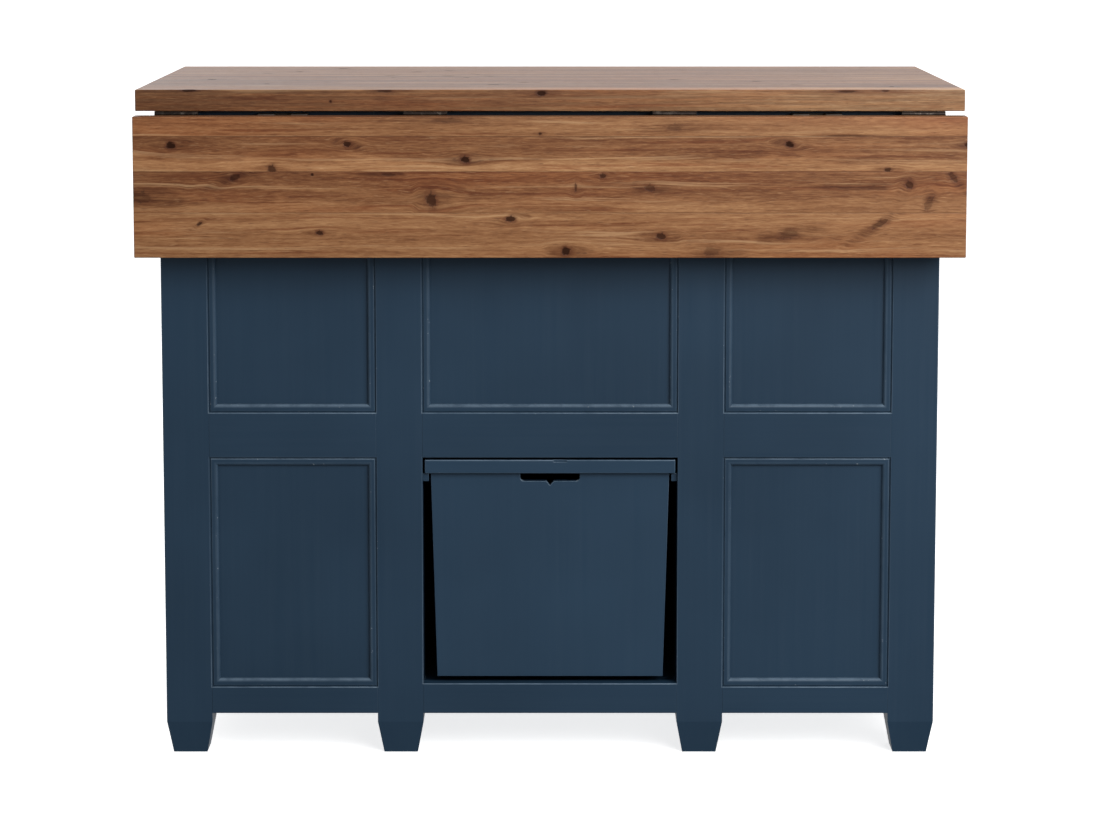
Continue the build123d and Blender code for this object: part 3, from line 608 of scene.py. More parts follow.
def outwards(mesh):
    """The same mesh with the faces of each closed shell turned outwards."""
    shape = bmesh.new()
    shape.from_mesh(mesh)
    bmesh.ops.recalc_face_normals(shape, faces=shape.faces)
    shape.to_mesh(mesh)
    shape.free()
    return mesh


# The strips of a moulding are welded where they are this close
MOULDING_WELD = 0.01 * MM


def moulding_tree():
    """Sweeps a bead and quarter-round profile round each opening, laid flat, then turns it into place.

    The profile starts at the opening's edge. It is stretched by the root of two in its own plane,
    because the four sections of a rectangle all stand in its mitres.
    """
    tree = Tree("Panel moulding", Turn="turn", Place="place", Width="length", Panel_depth="length",
                Set_back="length", Quirk_width="length", Quirk_depth="length", Bead_flat="length",
                Foot="length", Steps="count", Material="material")
    wires, given = tree.wires, tree.given
    size = wires.add("GeometryNodeInputNamedAttribute", 0, {"data_type": "FLOAT_VECTOR"}, Name="opening")
    square = wires.add("GeometryNodeCurvePrimitiveQuadrilateral", Width=1.0, Height=1.0)
    outline = wires.add("GeometryNodeInstanceOnPoints", Points=tree.points, Instance=square, Scale=size)
    outline = wires.add("GeometryNodeRealizeInstances", Geometry=outline)
    outline = wires.add("GeometryNodeSetCurveNormal", 0, {"mode": "Z_UP"}, Curve=outline)

    radius = wires.math("SUBTRACT", given["Quirk_depth"], given["Set_back"])
    bead_top = wires.plus(given["Quirk_width"], radius)
    flat_end = wires.plus(bead_top, given["Bead_flat"])
    nose_end = wires.math("SUBTRACT", given["Width"], given["Foot"])
    nose_depth = wires.math("SUBTRACT", given["Panel_depth"], given["Foot"])

    def spot(across, depth):
        return wires.whole(across, wires.times(depth, -1.0), 0.0)

    def line(start, end):
        return wires.add("GeometryNodeCurvePrimitiveLine", Start=start, End=end)

    def arc(centre, scale, first, sweep):
        curve = wires.add("GeometryNodeCurveArc", 0, {"mode": "RADIUS"}, Resolution=given["Steps"],
                          Radius=1.0, Start_Angle=math.radians(first), Sweep_Angle=math.radians(sweep))
        return wires.add("GeometryNodeTransform", Geometry=curve, Translation=centre, Scale=scale)

    rise = wires.math("SUBTRACT", nose_depth, given["Set_back"])
    run = wires.math("SUBTRACT", nose_end, flat_end)
    # Each section's first number is how strongly its faces are marked for rubbed and chipped paint and for
    # the painted highlight that the paint puts on arrises facing up.
    sections = (
        (0.0, line(spot(0.0, given["Panel_depth"]), spot(0.0, given["Quirk_depth"]))),
        (0.0, line(spot(0.0, given["Quirk_depth"]), spot(given["Quirk_width"], given["Quirk_depth"]))),
        (1.0, arc(spot(bead_top, given["Quirk_depth"]), wires.whole(radius, radius, 1.0), 180, -90)),
        (0.0, line(spot(bead_top, given["Set_back"]), spot(flat_end, given["Set_back"]))),
        (0.75, arc(spot(flat_end, nose_depth), wires.whole(run, rise, 1.0), 90, -90)),
        (0.0, line(spot(nose_end, nose_depth), spot(given["Width"], nose_depth))),
        (0.6, line(spot(given["Width"], nose_depth), spot(given["Width"], given["Panel_depth"]))),
        (0.0, line(spot(given["Width"], given["Panel_depth"]), spot(0.0, given["Panel_depth"]))),
    )
    join = wires.tree.nodes.new("GeometryNodeJoinGeometry")
    for wear_and_highlight, section in sections:
        section = wires.add("GeometryNodeTransform", Geometry=section, Scale=(-math.sqrt(2), -1, 1))
        strip = wires.add("GeometryNodeCurveToMesh", Curve=outline, Profile_Curve=section)
        strip = wires.add("GeometryNodeStoreNamedAttribute", 0, {"data_type": "FLOAT", "domain": "FACE"},
                          Geometry=strip, Name="worn", Value=wear_and_highlight)
        wires.join(strip, join.inputs[0])
    welded = wires.add("GeometryNodeMergeByDistance", Geometry=join.outputs[0], Distance=MOULDING_WELD)
    placed = wires.add("GeometryNodeTransform", Geometry=welded, Translation=given["Place"],
                       Rotation=given["Turn"])
    tree.end(placed)
    return tree


HEAD_SIDES = 28
SHANK_SIDES = 10
# The recess's span in head widths, and the height of its second arm in heights of its first
RECESS_SPAN = 0.62
SECOND_ARM = 0.9
# How far down the shank starts, in head depths, and the radius of its tip in shank widths
SHANK_TOP = 0.99
TIP_RADIUS = 0.08


def screw_tree():
    """Countersunk screws with a cross recess, whose faces look up from their points until turned."""
    tree = Tree("Countersunk screws", Head="length", Shank="length", Recess="length", Seed="count",
                Material="material")
    wires, given = tree.wires, tree.given
    sink = wires.times(wires.math("SUBTRACT", given["Head"], given["Shank"]), 0.5)
    head = wires.add("GeometryNodeMeshCone", Vertices=HEAD_SIDES, Radius_Top=wires.times(given["Head"], 0.5),
                     Radius_Bottom=wires.times(given["Shank"], 0.5), Depth=sink)
    head = wires.add("GeometryNodeTransform", Geometry=head,
                     Translation=wires.whole(0.0, 0.0, wires.times(sink, -1.0)))
    arm = wires.times(given["Head"], RECESS_SPAN)
    bar = wires.add("GeometryNodeMeshCube", Size=wires.whole(arm, given["Recess"], sink))
    shallow = wires.times(sink, SECOND_ARM)
    other = wires.add("GeometryNodeMeshCube", Size=wires.whole(given["Recess"], arm, shallow))
    cross = wires.tree.nodes.new("GeometryNodeMeshBoolean")
    cross.operation = "DIFFERENCE"
    wires.join(head, cross.inputs["Mesh 1"])
    wires.join(bar, cross.inputs["Mesh 2"])
    wires.join(other, cross.inputs["Mesh 2"])
    twist = wires.add("FunctionNodeRandomValue", 0, {"data_type": "FLOAT_VECTOR"}, Min=(0, 0, 0),
                      Max=(0, 0, math.pi), Seed=given["Seed"])
    turn = wires.add("GeometryNodeInputNamedAttribute", 0, {"data_type": "FLOAT_VECTOR"}, Name="turn")
    reach = wires.add("GeometryNodeInputNamedAttribute", 0, {"data_type": "FLOAT_VECTOR"}, Name="reach")
    heads = wires.add("GeometryNodeInstanceOnPoints", Points=tree.points, Instance=cross.outputs[0],
                      Rotation=turn)
    heads = wires.add("GeometryNodeRotateInstances", Instances=heads, Rotation=twist)
    shank = wires.add("GeometryNodeMeshCone", Vertices=SHANK_SIDES,
                      Radius_Top=wires.times(given["Shank"], 0.5),
                      Radius_Bottom=wires.times(given["Shank"], TIP_RADIUS), Depth=1.0)
    shank = wires.add("GeometryNodeTransform", Geometry=shank, Translation=(0, 0, -1.0))
    shanks = wires.add("GeometryNodeInstanceOnPoints", Points=tree.points, Instance=shank,
                       Rotation=turn, Scale=reach)
    under = wires.math("DIVIDE", wires.times(sink, -SHANK_TOP), wires.parts(reach)[Z])
    shanks = wires.add("GeometryNodeTranslateInstances", Instances=shanks,
                       Translation=wires.whole(0.0, 0.0, under))
    join = wires.tree.nodes.new("GeometryNodeJoinGeometry")
    wires.join(heads, join.inputs[0])
    wires.join(shanks, join.inputs[0])
    tree.end(join.outputs[0])
    return tree


def turned(node, profile, base, material):
    """Turned pieces facing +Y, one for each solid in the CAD node, from half a profile in millimetres."""
    shape = bmesh.new()
    for points in islands(node):
        low, high = span_of(points)
        centre = Vector(((low.x + high.x) / 2, base, (low.z + high.z) / 2))
        ring = [shape.verts.new(centre + Vector((radius, rise, 0)) * MM) for radius, rise in profile]
        sides = [shape.edges.new(ends) for ends in zip(ring, ring[1:])]
        bmesh.ops.spin(shape, geom=[*ring, *sides], cent=centre, axis=(0, 1, 0), steps=36,
                       angle=2 * math.pi, use_merge=True)
    bmesh.ops.remove_doubles(shape, verts=shape.verts, dist=WELD)
    bmesh.ops.recalc_face_normals(shape, faces=shape.faces)
    mesh = bpy.data.meshes.new(node)
    shape.to_mesh(mesh)
    shape.free()
    shade(mesh, 40)
    place_piece(f"{node}_turned", mesh, material, [node])


# Where a corner with no knot stands, in half-widths of a knot, and how far the end cells pass the board
NO_KNOT = (99, 99, 99)
PAST_END = 1000 * MM


def glued_board(name, node, material, across, staves):
    """A board glued up from staves: the CAD board, cut along its seams and between its knots."""
    shape = merged(node)
    low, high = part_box(node)
    direction = Vector((0, 0, 0))
    direction[across] = 1
    marks = [low[across], *(stave.ends for stave in staves[:-1]), high[across]]

    def cut(faces, place, normal):
        parts = dict.fromkeys(part for face in faces for part in (face, *face.edges, *face.verts))
        bmesh.ops.bisect_plane(shape, geom=list(parts), plane_co=place, plane_no=normal)

    for mark in marks[1:-1]:
        cut(shape.faces[:], direction * mark, direction)

    def faces_of(number):
        span = marks[number], marks[number + 1]
        return [face for face in shape.faces if span[0] <= face.calc_center_median()[across] <= span[1]]

    layers = {key: shape.loops.layers.float_vector.new(key) for key in ("stave", "knot", "cell")}
    layers |= {key: shape.loops.layers.float_color.new(key) for key in ("look", "knot_look")}
    ends = (low[X] - PAST_END, high[X] + PAST_END)
    for number, stave in enumerate(staves):
        places = [knot.along for knot in stave.knots]
        borders = [(one + other) / 2 for one, other in zip(places, places[1:])]
        for border in borders:
            cut(faces_of(number), Vector((border, 0, 0)), Vector((1, 0, 0)))
        borders = [ends[0], *borders, ends[1]]
        for knot in stave.knots:
            if knot.level is None:
                knot.level = (low + high)[Z] / 2 if across == Y else -(low + high)[Y] / 2
        for face in faces_of(number):
            cell = sum(face.calc_center_median()[X] > border for border in borders[1:-1])
            knot = stave.knots[cell] if stave.knots else None
            for corner in face.loops:
                point = corner.vert.co
                pattern = Vector((point.x, point[across], point.z if across == Y else -point.y))
                corner[layers["stave"]] = (number, point[across] - marks[number],
                                           marks[number + 1] - point[across])
                corner[layers["look"]] = stave.look
                corner[layers["cell"]] = (point.x - borders[cell], borders[cell + 1] - point.x, 0)
                corner[layers["knot"]] = knot.seen_from(pattern) if knot else NO_KNOT
                if knot:
                    look = (knot.dark, knot.stain, knot.size.y * knot.dark, knot.number)
                    corner[layers["knot_look"]] = look
    mesh = bpy.data.meshes.new(name)
    shape.to_mesh(mesh)
    shape.free()
    shade(mesh)
    place_piece(name, mesh, material, [node])


class CounterWood(PropertyGroup):
    """The hardwood of the worktop and the leaf."""

    darkest: FloatVectorProperty(name="Darkest", description="Darkest heartwood", subtype="COLOR",
                                 default=srgb(72, 38, 20), min=0, max=1)
    dark: FloatVectorProperty(name="Dark", description="Heartwood", subtype="COLOR",
                              default=srgb(112, 67, 38), min=0, max=1)
    middle: FloatVectorProperty(name="Middle", description="Middle tone", subtype="COLOR",
                                default=srgb(149, 102, 65), min=0, max=1)
    light: FloatVectorProperty(name="Light", description="Pale grain", subtype="COLOR",
                               default=srgb(178, 131, 89), min=0, max=1)
    lightest: FloatVectorProperty(name="Lightest", description="Sapwood", subtype="COLOR",
                                  default=srgb(208, 166, 122), min=0, max=1)
    blush: FloatVectorProperty(name="Blush", description="Tint of the redder streaks", subtype="COLOR",
                               default=(1.0, 0.76, 0.63), min=0, max=1)
    vein: FloatVectorProperty(name="Vein", description="Tint of the long dark veins", subtype="COLOR",
                              default=(0.62, 0.42, 0.33), min=0, max=1)
    pore: FloatVectorProperty(name="Pores", description="Colour of the open pores", subtype="COLOR",
                              default=srgb(86, 50, 29), min=0, max=1)
    collar: FloatVectorProperty(name="Knot collar", description="Colour of the bark round a knot",
                                subtype="COLOR", default=srgb(92, 47, 25), min=0, max=1)
    knot_core: FloatVectorProperty(name="Knot", description="Colour of a knot's core", subtype="COLOR",
                                   default=srgb(40, 20, 12), min=0, max=1)
    knot_stain: FloatVectorProperty(name="Knot stain", description="Tint round a knot", subtype="COLOR",
                                    default=(0.46, 0.36, 0.3), min=0, max=1)
    roughness: FloatProperty(name="Roughness", description="Roughness of the oiled wood",
                             default=0.42, min=0, max=1, subtype="FACTOR")
    broad_contrast: FloatProperty(name="Broad contrast", description="Strength of the broad bands",
                                  default=0.55, min=0, max=2)
    mottle_contrast: FloatProperty(name="Mottle contrast", description="Strength of the mottled figure",
                                   default=0.4, min=0, max=2)
    line_contrast: FloatProperty(name="Line contrast", description="Strength of the grain lines",
                                 default=0.35, min=0, max=2)
    thread_contrast: FloatProperty(name="Thread contrast", description="Strength of the short grain",
                                   default=0.6, min=0, max=2)
    hair_contrast: FloatProperty(name="Hair contrast", description="Strength of the finest grain",
                                 default=0.4, min=0, max=2)
    seed: IntProperty(name="Seed", description="Which staves the worktop is glued from", default=7)


class CounterPaint(PropertyGroup):
    """The paint on the carcase, the tub, the drawers and the doors."""

    colour: FloatVectorProperty(name="Paint", description="Main colour", subtype="COLOR",
                                default=srgb(31, 54, 74), min=0, max=1)
    cloud: FloatVectorProperty(name="Cloud", description="Colour of the slightly lighter clouds",
                               subtype="COLOR", default=srgb(36, 60, 81), min=0, max=1)
    # This pale colour serves both for rubbed paint and as a painted highlight on arrises facing up.
    worn_and_highlight_colour: FloatVectorProperty(name="Worn", description="Colour where the paint is rubbed thin",
                                     subtype="COLOR", default=srgb(122, 142, 160), min=0, max=1)
    chip_colour: FloatVectorProperty(name="Chips", description="Undercoat in the chipped edges",
                                     subtype="COLOR", default=srgb(176, 184, 190), min=0, max=1)
    # This also sets the strength of the painted highlight on arrises facing up.
    wear_and_highlight: FloatProperty(name="Wear", description="How far the arrises are rubbed", default=0.7,
                        min=0, max=1, subtype="FACTOR")
    roughness: FloatProperty(name="Roughness", description="Roughness of the satin film",
                             default=0.42, min=0, max=1, subtype="FACTOR")
    gloss: FloatProperty(name="Gloss", description="Strength of the paint's reflections",
                         default=0.3, min=0, max=1, subtype="FACTOR")
    softening: FloatProperty(name="Softening", description="Rounding of the painted edges",
                             default=0.6 * MM, min=0, max=0.005, unit="LENGTH")


class CounterStudio(PropertyGroup):
    """The camera, the lights and the floor."""

    distance: FloatProperty(name="Distance", description="From the camera to the worktop's front edge",
                            default=4.739, min=0.5, max=20, unit="LENGTH")
    height: FloatProperty(name="Height", description="Camera height above the floor",
                          default=1.27, min=0, max=5, unit="LENGTH")
    pitch: FloatProperty(name="Pitch", description="How far the camera looks down",
                         default=math.radians(6.9), min=0, max=1.5, unit="ROTATION")
    lens: FloatProperty(name="Lens", description="Focal length on a 36 mm wide sensor, in millimetres",
                        default=107.36, min=10, max=400)
    shift: FloatProperty(name="Shift", description="Vertical lens shift, in picture widths",
                         default=-0.1096, min=-0.5, max=0.5)
    key: FloatProperty(name="Key", description="Power of the softbox above the front",
                       default=152, min=0, max=2000, unit="POWER")
    fill: FloatProperty(name="Fill", description="Power of the softbox behind the kitchen side",
                        default=55, min=0, max=2000, unit="POWER")
    top: FloatProperty(name="Top", description="Power of the softbox overhead",
                       default=9, min=0, max=2000, unit="POWER")
    room: FloatProperty(name="Room", description="Brightness of the room", default=1.05, min=0, max=5)
    floor_colour: FloatVectorProperty(name="Floor", description="Colour of the floor", subtype="COLOR",
                                      default=(0.93, 0.93, 0.925), min=0, max=1)


def softbox(name, place, target, size, power):
    light = bpy.data.lights.new(name, "AREA")
    light.shape = "RECTANGLE"
    light.size, light.size_y = size
    light.energy = power
    lamp = bpy.data.objects.new(name, light)
    lamp.location = place
    lamp.rotation_euler = (Vector(target) - Vector(place)).to_track_quat("-Z", "Y").to_euler()
    bpy.context.scene.collection.objects.link(lamp)


FLOOR_RADIUS = 60.0


class COUNTER_OT_stage(Operator):
    """Sets the camera, the lights and the plain floor"""

    bl_idname = "counter.stage"
    bl_label = "Studio"

    def execute(self, context):
        studio = context.scene.counter_studio
        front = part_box("worktop")[0][Y]
        lens = bpy.data.cameras.new("Camera")
        lens.lens = studio.lens
        lens.sensor_width = 36.0
        lens.shift_y = studio.shift
        lens.clip_end = 200.0
        camera = bpy.data.objects.new("Camera", lens)
        camera.location = (0, front - studio.distance, studio.height)
        camera.rotation_euler = (math.pi / 2 - studio.pitch, 0, 0)
        context.scene.collection.objects.link(camera)
        context.scene.camera = camera

        middle = (0, 0, 0.5)
        softbox("Key softbox", (2.1, -3.2, 2.45), middle, (3.0, 2.4), studio.key)
        softbox("Fill softbox", (-2.6, 3.4, 2.6), middle, (2.4, 2.0), studio.fill)
        softbox("Top softbox", (0.3, -0.3, 3.4), (0.1, -0.2, 0.9), (2.8, 0.4), studio.top)

        world = bpy.data.worlds.new("Studio room")
        world.use_nodes = True
        world.node_tree.nodes.clear()
        wires = Wires(world.node_tree)
        _, back_of_room, up = wires.parts(wires.add("ShaderNodeTexCoord", "Generated"))
        below = wires.spread(up, -0.14, -0.02, 0.5, 1.0)
        above = wires.spread(up, 0.16, 0.6, 1.0, 0.4)
        front = wires.spread(back_of_room, -0.5, 0.2, 0.4, 1.22)
        shade_of_room = wires.times(wires.times(below, above), front)
        grey = wires.whole(shade_of_room, shade_of_room, shade_of_room)
        back = wires.add("ShaderNodeBackground", Color=grey, Strength=studio.room)
        world.node_tree.links.new(back, world.node_tree.nodes.new("ShaderNodeOutputWorld").inputs[0])
        context.scene.world = world
        context.scene.view_settings.view_transform = "Standard"

        material, wires, place = new_material("Pale floor")
        clouds = wires.noise(place, (1.3, 1.3, 1.3), 3, 0.5)
        colour = wires.colour(wires.spread(clouds, 0.2, 0.8, 0.0, 0.03), tuple(studio.floor_colour),
                              (0.8, 0.8, 0.79))
        finish_material(wires, colour, 0.6, wires.times(clouds, 0.00002),
                        Emission_Color=(1.0, 1.0, 1.0), Emission_Strength=0.78)
        shape = bmesh.new()
        bmesh.ops.create_circle(shape, cap_ends=True, segments=96, radius=FLOOR_RADIUS)
        mesh = bpy.data.meshes.new("Floor")
        shape.to_mesh(mesh)
        shape.free()
        mesh.materials.append(material)
        floor = bpy.data.objects.new("Floor", mesh)
        context.scene.collection.objects.link(floor)
        floor.visible_diffuse = False
        floor.visible_glossy = False
        return {"FINISHED"}


# The leaf's staves from its hanging edge up, with the knots that show on it
LEAF_STAVES = (
    Stave(814.6, 0.52, 0.6, 0.7, 0.0, (
        Knot(-505, 799, 4.5, 2.4, 35, 0.8, 0.5), Knot(-332, 786, 5.5, 4, 0, 0.85, 0.6),
        Knot(-57, 806, 8, 5, 10, 0.85, 0.9), Knot(23, 759, 7.5, 7, 0, 0.95, 1.0),
        Knot(160, 781, 8, 5.5, 0, 0.8, 0.9), Knot(233, 758, 14, 7, 0, 0.35, 0.8),
        Knot(344, 784, 14, 7, 10, 0.4, 0.9), Knot(475, 799, 15, 5, 32, 0.5, 0.8),
    )),
    Stave(874.3, 0.55, 0.37, 0.3, 0.02, (
        Knot(-589, 837, 17, 10, 0, 0.35, 0.9), Knot(-453, 866, 10, 5, 20, 0.75, 1.0),
        Knot(-342, 870, 2.2, 2, 0, 0.9, 0.4), Knot(-232, 870, 12, 2.4, 0, 0.5, 0.9),
        Knot(-171, 834, 8, 12, 0, 0.75, 0.9), Knot(37, 851, 2, 7, 0, 0.55, 0.4),
        Knot(76, 868, 5, 4, 20, 0.7, 0.6), Knot(144, 851, 8, 6, 0, 0.5, 0.8),
        Knot(466, 851, 22, 4, 0, 0.2, 0.9), Knot(517, 855, 6, 7, 30, 0.65, 0.8),
        Knot(545, 828, 6, 13, -30, 0.3, 0.8), Knot(580, 866, 10, 5, -45, 0.5, 0.7),
    )),
    Stave(925.1, 0.66, 0.36, 0.36, 0.03, (
        Knot(-545, 912, 7.5, 5.5, 0, 1.0, 1.0), Knot(-400, 878, 6.5, 7, 0, 0.7, 0.7),
        Knot(-291, 914, 6, 5, -15, 0.9, 0.9), Knot(-122, 892, 7, 6, 0, 0.95, 0.9),
        Knot(344, 913.5, 7, 4.5, -10, 1.0, 0.9), Knot(486, 877, 5.5, 3.5, 0, 0.8, 0.6),
        Knot(599, 913, 4, 4, 0, 0.8, 0.6),
    )),
    Stave(None, 0.56, 0.5, 0.5, 0.02, (
        Knot(-148, 948, 26, 4, 0, 0.3, 0.7), Knot(-14, 929, 2.6, 2.2, 0, 0.8, 0.4),
        Knot(180, 938, 13, 6, 0, 0.3, 0.7), Knot(429, 926, 40, 1.6, 0, 0.4, 0.6),
    )),
)

# Marks in the front edge of the worktop, most of them broken out of its upper arris
EDGE_KNOTS = (
    Knot(-521, -306, 12, 7, 0, 0.9, 0.8, 988.6, 2.0), Knot(-317, -306, 2, 8, 0, 0.8, 0.3, 973, 2.0),
    Knot(-238, -306, 12, 7, 0, 0.7, 0.8, 988, 2.0), Knot(-13, -306, 7.5, 8, 0, 0.9, 1.0, 985, 4.0),
    Knot(428, -306, 14, 6, 0, 0.6, 0.6, 987.6, 1.8), Knot(484, -306, 6, 6, 0, 0.5, 0.5, 988.6, 2.0),
)
STAVE_WIDTHS = (52, 61, 48, 66, 57, 44, 63, 55, 49, 60, 46, 49)
# How far to either side of the middle a drawn knot may stand
KNOT_REACH = 560


def worktop_staves(wood):
    """The worktop's staves from front to back: the first has the marks that show, the rest are drawn."""
    chance = random.Random(wood.seed)
    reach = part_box("worktop")[0][Y] / MM + STAVE_WIDTHS[0]
    staves = [Stave(reach, 0.58, 0.66, 0.5, 0.36, EDGE_KNOTS)]
    for width in STAVE_WIDTHS[1:]:
        spots = [chance.uniform(-KNOT_REACH, KNOT_REACH) for _ in range(chance.choice((0, 1, 1, 2, 3)))]
        knots = [
            Knot(spot, reach + width * chance.uniform(0.15, 0.85), chance.uniform(4, 13),
                 chance.uniform(3, 8), chance.uniform(-25, 25), chance.uniform(0.5, 1),
                 chance.uniform(0.5, 1))
            for spot in spots
        ]
        reach += width
        staves.append(Stave(reach, chance.uniform(0.25, 0.5), chance.uniform(0.25, 0.5),
                            chance.uniform(0.25, 0.75), chance.uniform(-0.15, 0.15), knots))
    return staves


class COUNTER_OT_worktop(Operator):
    """Makes the worktop from glued staves"""

    bl_idname = "counter.worktop"
    bl_label = "Worktop"

    def execute(self, context):
        wood = context.scene.counter_wood
        material = glued_wood("Worktop wood", wood, turn=0.0, gloss=0.32)
        glued_board("worktop_staves", "worktop", material, Y, worktop_staves(wood))
        return {"FINISHED"}


class COUNTER_OT_leaf(Operator):
    """Makes the drop leaf from glued staves"""

    bl_idname = "counter.leaf"
    bl_label = "Drop leaf"

    def execute(self, context):
        wood = context.scene.counter_wood
        material = glued_wood("Leaf wood", wood, turn=-math.pi / 2, gloss=0.3)
        glued_board("drop_leaf_staves", "drop_leaf", material, Z, LEAF_STAVES)
        return {"FINISHED"}


UPRIGHT_PAINT = "Paint brushed upright"
LEVEL_PAINT = "Paint brushed level"
UPRIGHT = ("post_bar_left_end", "post_bar_left_inner", "post_bar_right_inner", "post_bar_right_end",
           "post_kitchen_left_end", "post_kitchen_left_inner", "post_kitchen_right_inner",
           "post_kitchen_right_end", "partition_left", "partition_right")
LEVEL = ("bar_top_rails", "bar_mid_rails", "bar_bottom_rails", "kitchen_rails", "floor_board",
         "dust_board", "tub_runners")


class COUNTER_OT_frame(Operator):
    """Paints the posts, the rails and the boards between them"""

    bl_idname = "counter.frame"
    bl_label = "Painted frame"

    def execute(self, context):
        paint = context.scene.counter_paint
        upright = satin_paint(UPRIGHT_PAINT, paint, Z)
        level = satin_paint(LEVEL_PAINT, paint, X)
        deep = satin_paint("Paint brushed front to back", paint, Y)
        for node in UPRIGHT:
            softened(node, upright, paint.softening)
        for node in LEVEL:
            softened(node, level, paint.softening)
        for node in ("bar_panels", "kitchen_panel", "end_panels"):
            paint_node(node, upright)
        softened("end_rails", deep, paint.softening)
        return {"FINISHED"}


PROFILE = {"Width": 13 * MM, "Panel_depth": 8 * MM, "Set_back": 1.6 * MM, "Quirk_width": 1.6 * MM,
           "Quirk_depth": 3.2 * MM, "Bead_flat": 4 * MM, "Foot": 0.8 * MM, "Steps": 7}


def swept_mouldings(tree, rings, material):
    """Mouldings swept round the openings of the CAD mouldings given, on whichever side each faces."""
    swept = []
    for points in rings:
        low, high = span_of(points)
        size = high - low
        across = Y if size.y < size.x else X
        outward = 1 if (low + high)[across] > 0 else -1
        yaw = {(Y, -1): 0, (Y, 1): 180, (X, 1): 90, (X, -1): -90}[across, outward]
        place = (low + high) / 2
        place[across] = (high if outward > 0 else low)[across] + outward * PROFILE["Set_back"]
        opening = {"opening": (size[X + Y - across], size.z, 1)}
        swept.append(tree.grown([((0, 0, 0), opening)], Material=material, Place=place,
                                Turn=(math.pi / 2, 0, math.radians(yaw)), **PROFILE))
    return outwards(joined(swept))


class COUNTER_OT_mouldings(Operator):
    """Sweeps the mouldings round the panels of the frame and the doors"""

    bl_idname = "counter.mouldings"
    bl_label = "Panel mouldings"

    def execute(self, context):
        upright = bpy.data.materials[UPRIGHT_PAINT]
        tree = moulding_tree()
        mesh = swept_mouldings(tree, islands("panel_mouldings"), upright)
        shade(mesh, 24)
        place_piece("panel_mouldings_swept", mesh, upright, ["panel_mouldings"])
        for side in ("left", "right"):
            node = f"door_{side}_panel"
            board, ring = sorted(islands(node), key=len)
            mesh = joined([board_of(board), swept_mouldings(tree, [ring], upright)])
            shade(mesh, 24)
            place_piece(f"{node}_moulded", mesh, upright, [node])
        return {"FINISHED"}


# The tub is painted a little paler than the frame
TUB_FRESHNESS = 0.9


class COUNTER_OT_tub(Operator):
    """Paints the pull-out tub"""

    bl_idname = "counter.tub"
    bl_label = "Pull-out tub"

    def execute(self, context):
        paint = context.scene.counter_paint
        upright = satin_paint("Tub paint brushed upright", paint, Z, TUB_FRESHNESS)
        level = satin_paint("Tub paint brushed level", paint, X, TUB_FRESHNESS)
        for node in ("tub_front", "tub_back", "tub_sides"):
            softened(node, upright, paint.softening)
        for node in ("tub_floor", "tub_rim"):
            softened(node, level, paint.softening)
        return {"FINISHED"}


# Light and dark tones of the bare woods, and the rounding of their edges
SOFTWOOD = srgb(206, 178, 138), srgb(176, 142, 101)
# The supports' wood is darkened to the deep shade it is seen in behind the leaf: painted shade.
SUPPORT_WOOD_IN_SHADE = srgb(70, 61, 55), srgb(44, 38, 34)
WOOD_EDGE = 0.5 * MM
ARM_EDGE = 0.7 * MM


class COUNTER_OT_storage(Operator):
    """Finishes the drawers, the doors and the shelves"""

    bl_idname = "counter.storage"
    bl_label = "Drawers, doors and shelves"

    def execute(self, context):
        paint = context.scene.counter_paint
        upright = bpy.data.materials[UPRIGHT_PAINT]
        level = bpy.data.materials[LEVEL_PAINT]
        pale = plain_wood("Pale softwood", X, *SOFTWOOD)
        deep = plain_wood("Pale softwood front to back", Y, *SOFTWOOD)
        for side in ("left", "right"):
            softened(f"door_{side}_frame", upright, paint.softening)
        for row in ("lower", "upper"):
            softened(f"drawer_{row}_front", level, paint.softening)
            softened(f"drawer_{row}_box", deep, WOOD_EDGE)
        softened("shelves", pale, WOOD_EDGE)
        for node in ("worktop_cleats", "drawer_bearers"):
            softened(node, deep, WOOD_EDGE)
        return {"FINISHED"}


class COUNTER_OT_supports(Operator):
    """Finishes the leaf's folding supports"""

    bl_idname = "counter.supports"
    bl_label = "Leaf supports"

    def execute(self, context):
        # Painted shade: the supports are given the dark tone of the gap they stand in.
        grey = plain_wood("Greyed support wood", Z, *SUPPORT_WOOD_IN_SHADE)
        for side in ("left", "right"):
            softened(f"support_housing_{side}", grey, WOOD_EDGE)
            softened(f"support_arm_{side}", grey, ARM_EDGE)
        paint_node("support_pads", grey_felt("Grey felt"))
        return {"FINISHED"}


# Half a knob's outline, as its radius and its height above the board
KNOB = ((0.0, -20), (2.5, -20), (2.5, 0), (7.4, 0), (8, 0.5), (8, 1.6), (7.5, 2.2), (6.9, 2.5), (6.1, 3.6),
        (5.6, 5.2), (5.4, 7.2), (5.5, 9.2), (6.0, 11.4), (7.2, 13.8), (9.2, 16.1), (11.6, 17.9), (13.6, 19.0),
        (14.6, 19.7), (15.0, 20.4), (14.9, 21.2), (14.2, 21.9), (12.8, 22.6), (10.6, 23.8), (7.6, 25.0),
        (4.2, 25.75), (1.6, 25.97), (0.0, 26))


CATCH_EDGE = 0.8 * MM
# A solid of the door hinges at least this large is a plate, whose outer edge is a band this wide
PLATE_WIDTH = 15 * MM
PLATE_HEIGHT = 50 * MM
EDGE_BAND = 1 * MM
# A plate's screws, each by how far up from its middle and in from its edge it is, in millimetres
PLATE_SCREWS = ((-22, 11), (0, 7), (22, 11))
PLATE_SCREW = {"Head": 5.4 * MM, "Shank": 2.6 * MM, "Recess": 0.75 * MM, "Seed": 5}
# How far their heads stand off the plate and their shanks reach in
HEAD_PROUD = 0.45 * MM
SHORT_REACH = 0.6 * MM
WOOD_SCREW = {"Head": 6 * MM, "Shank": 3 * MM, "Recess": 0.8 * MM, "Seed": 3}
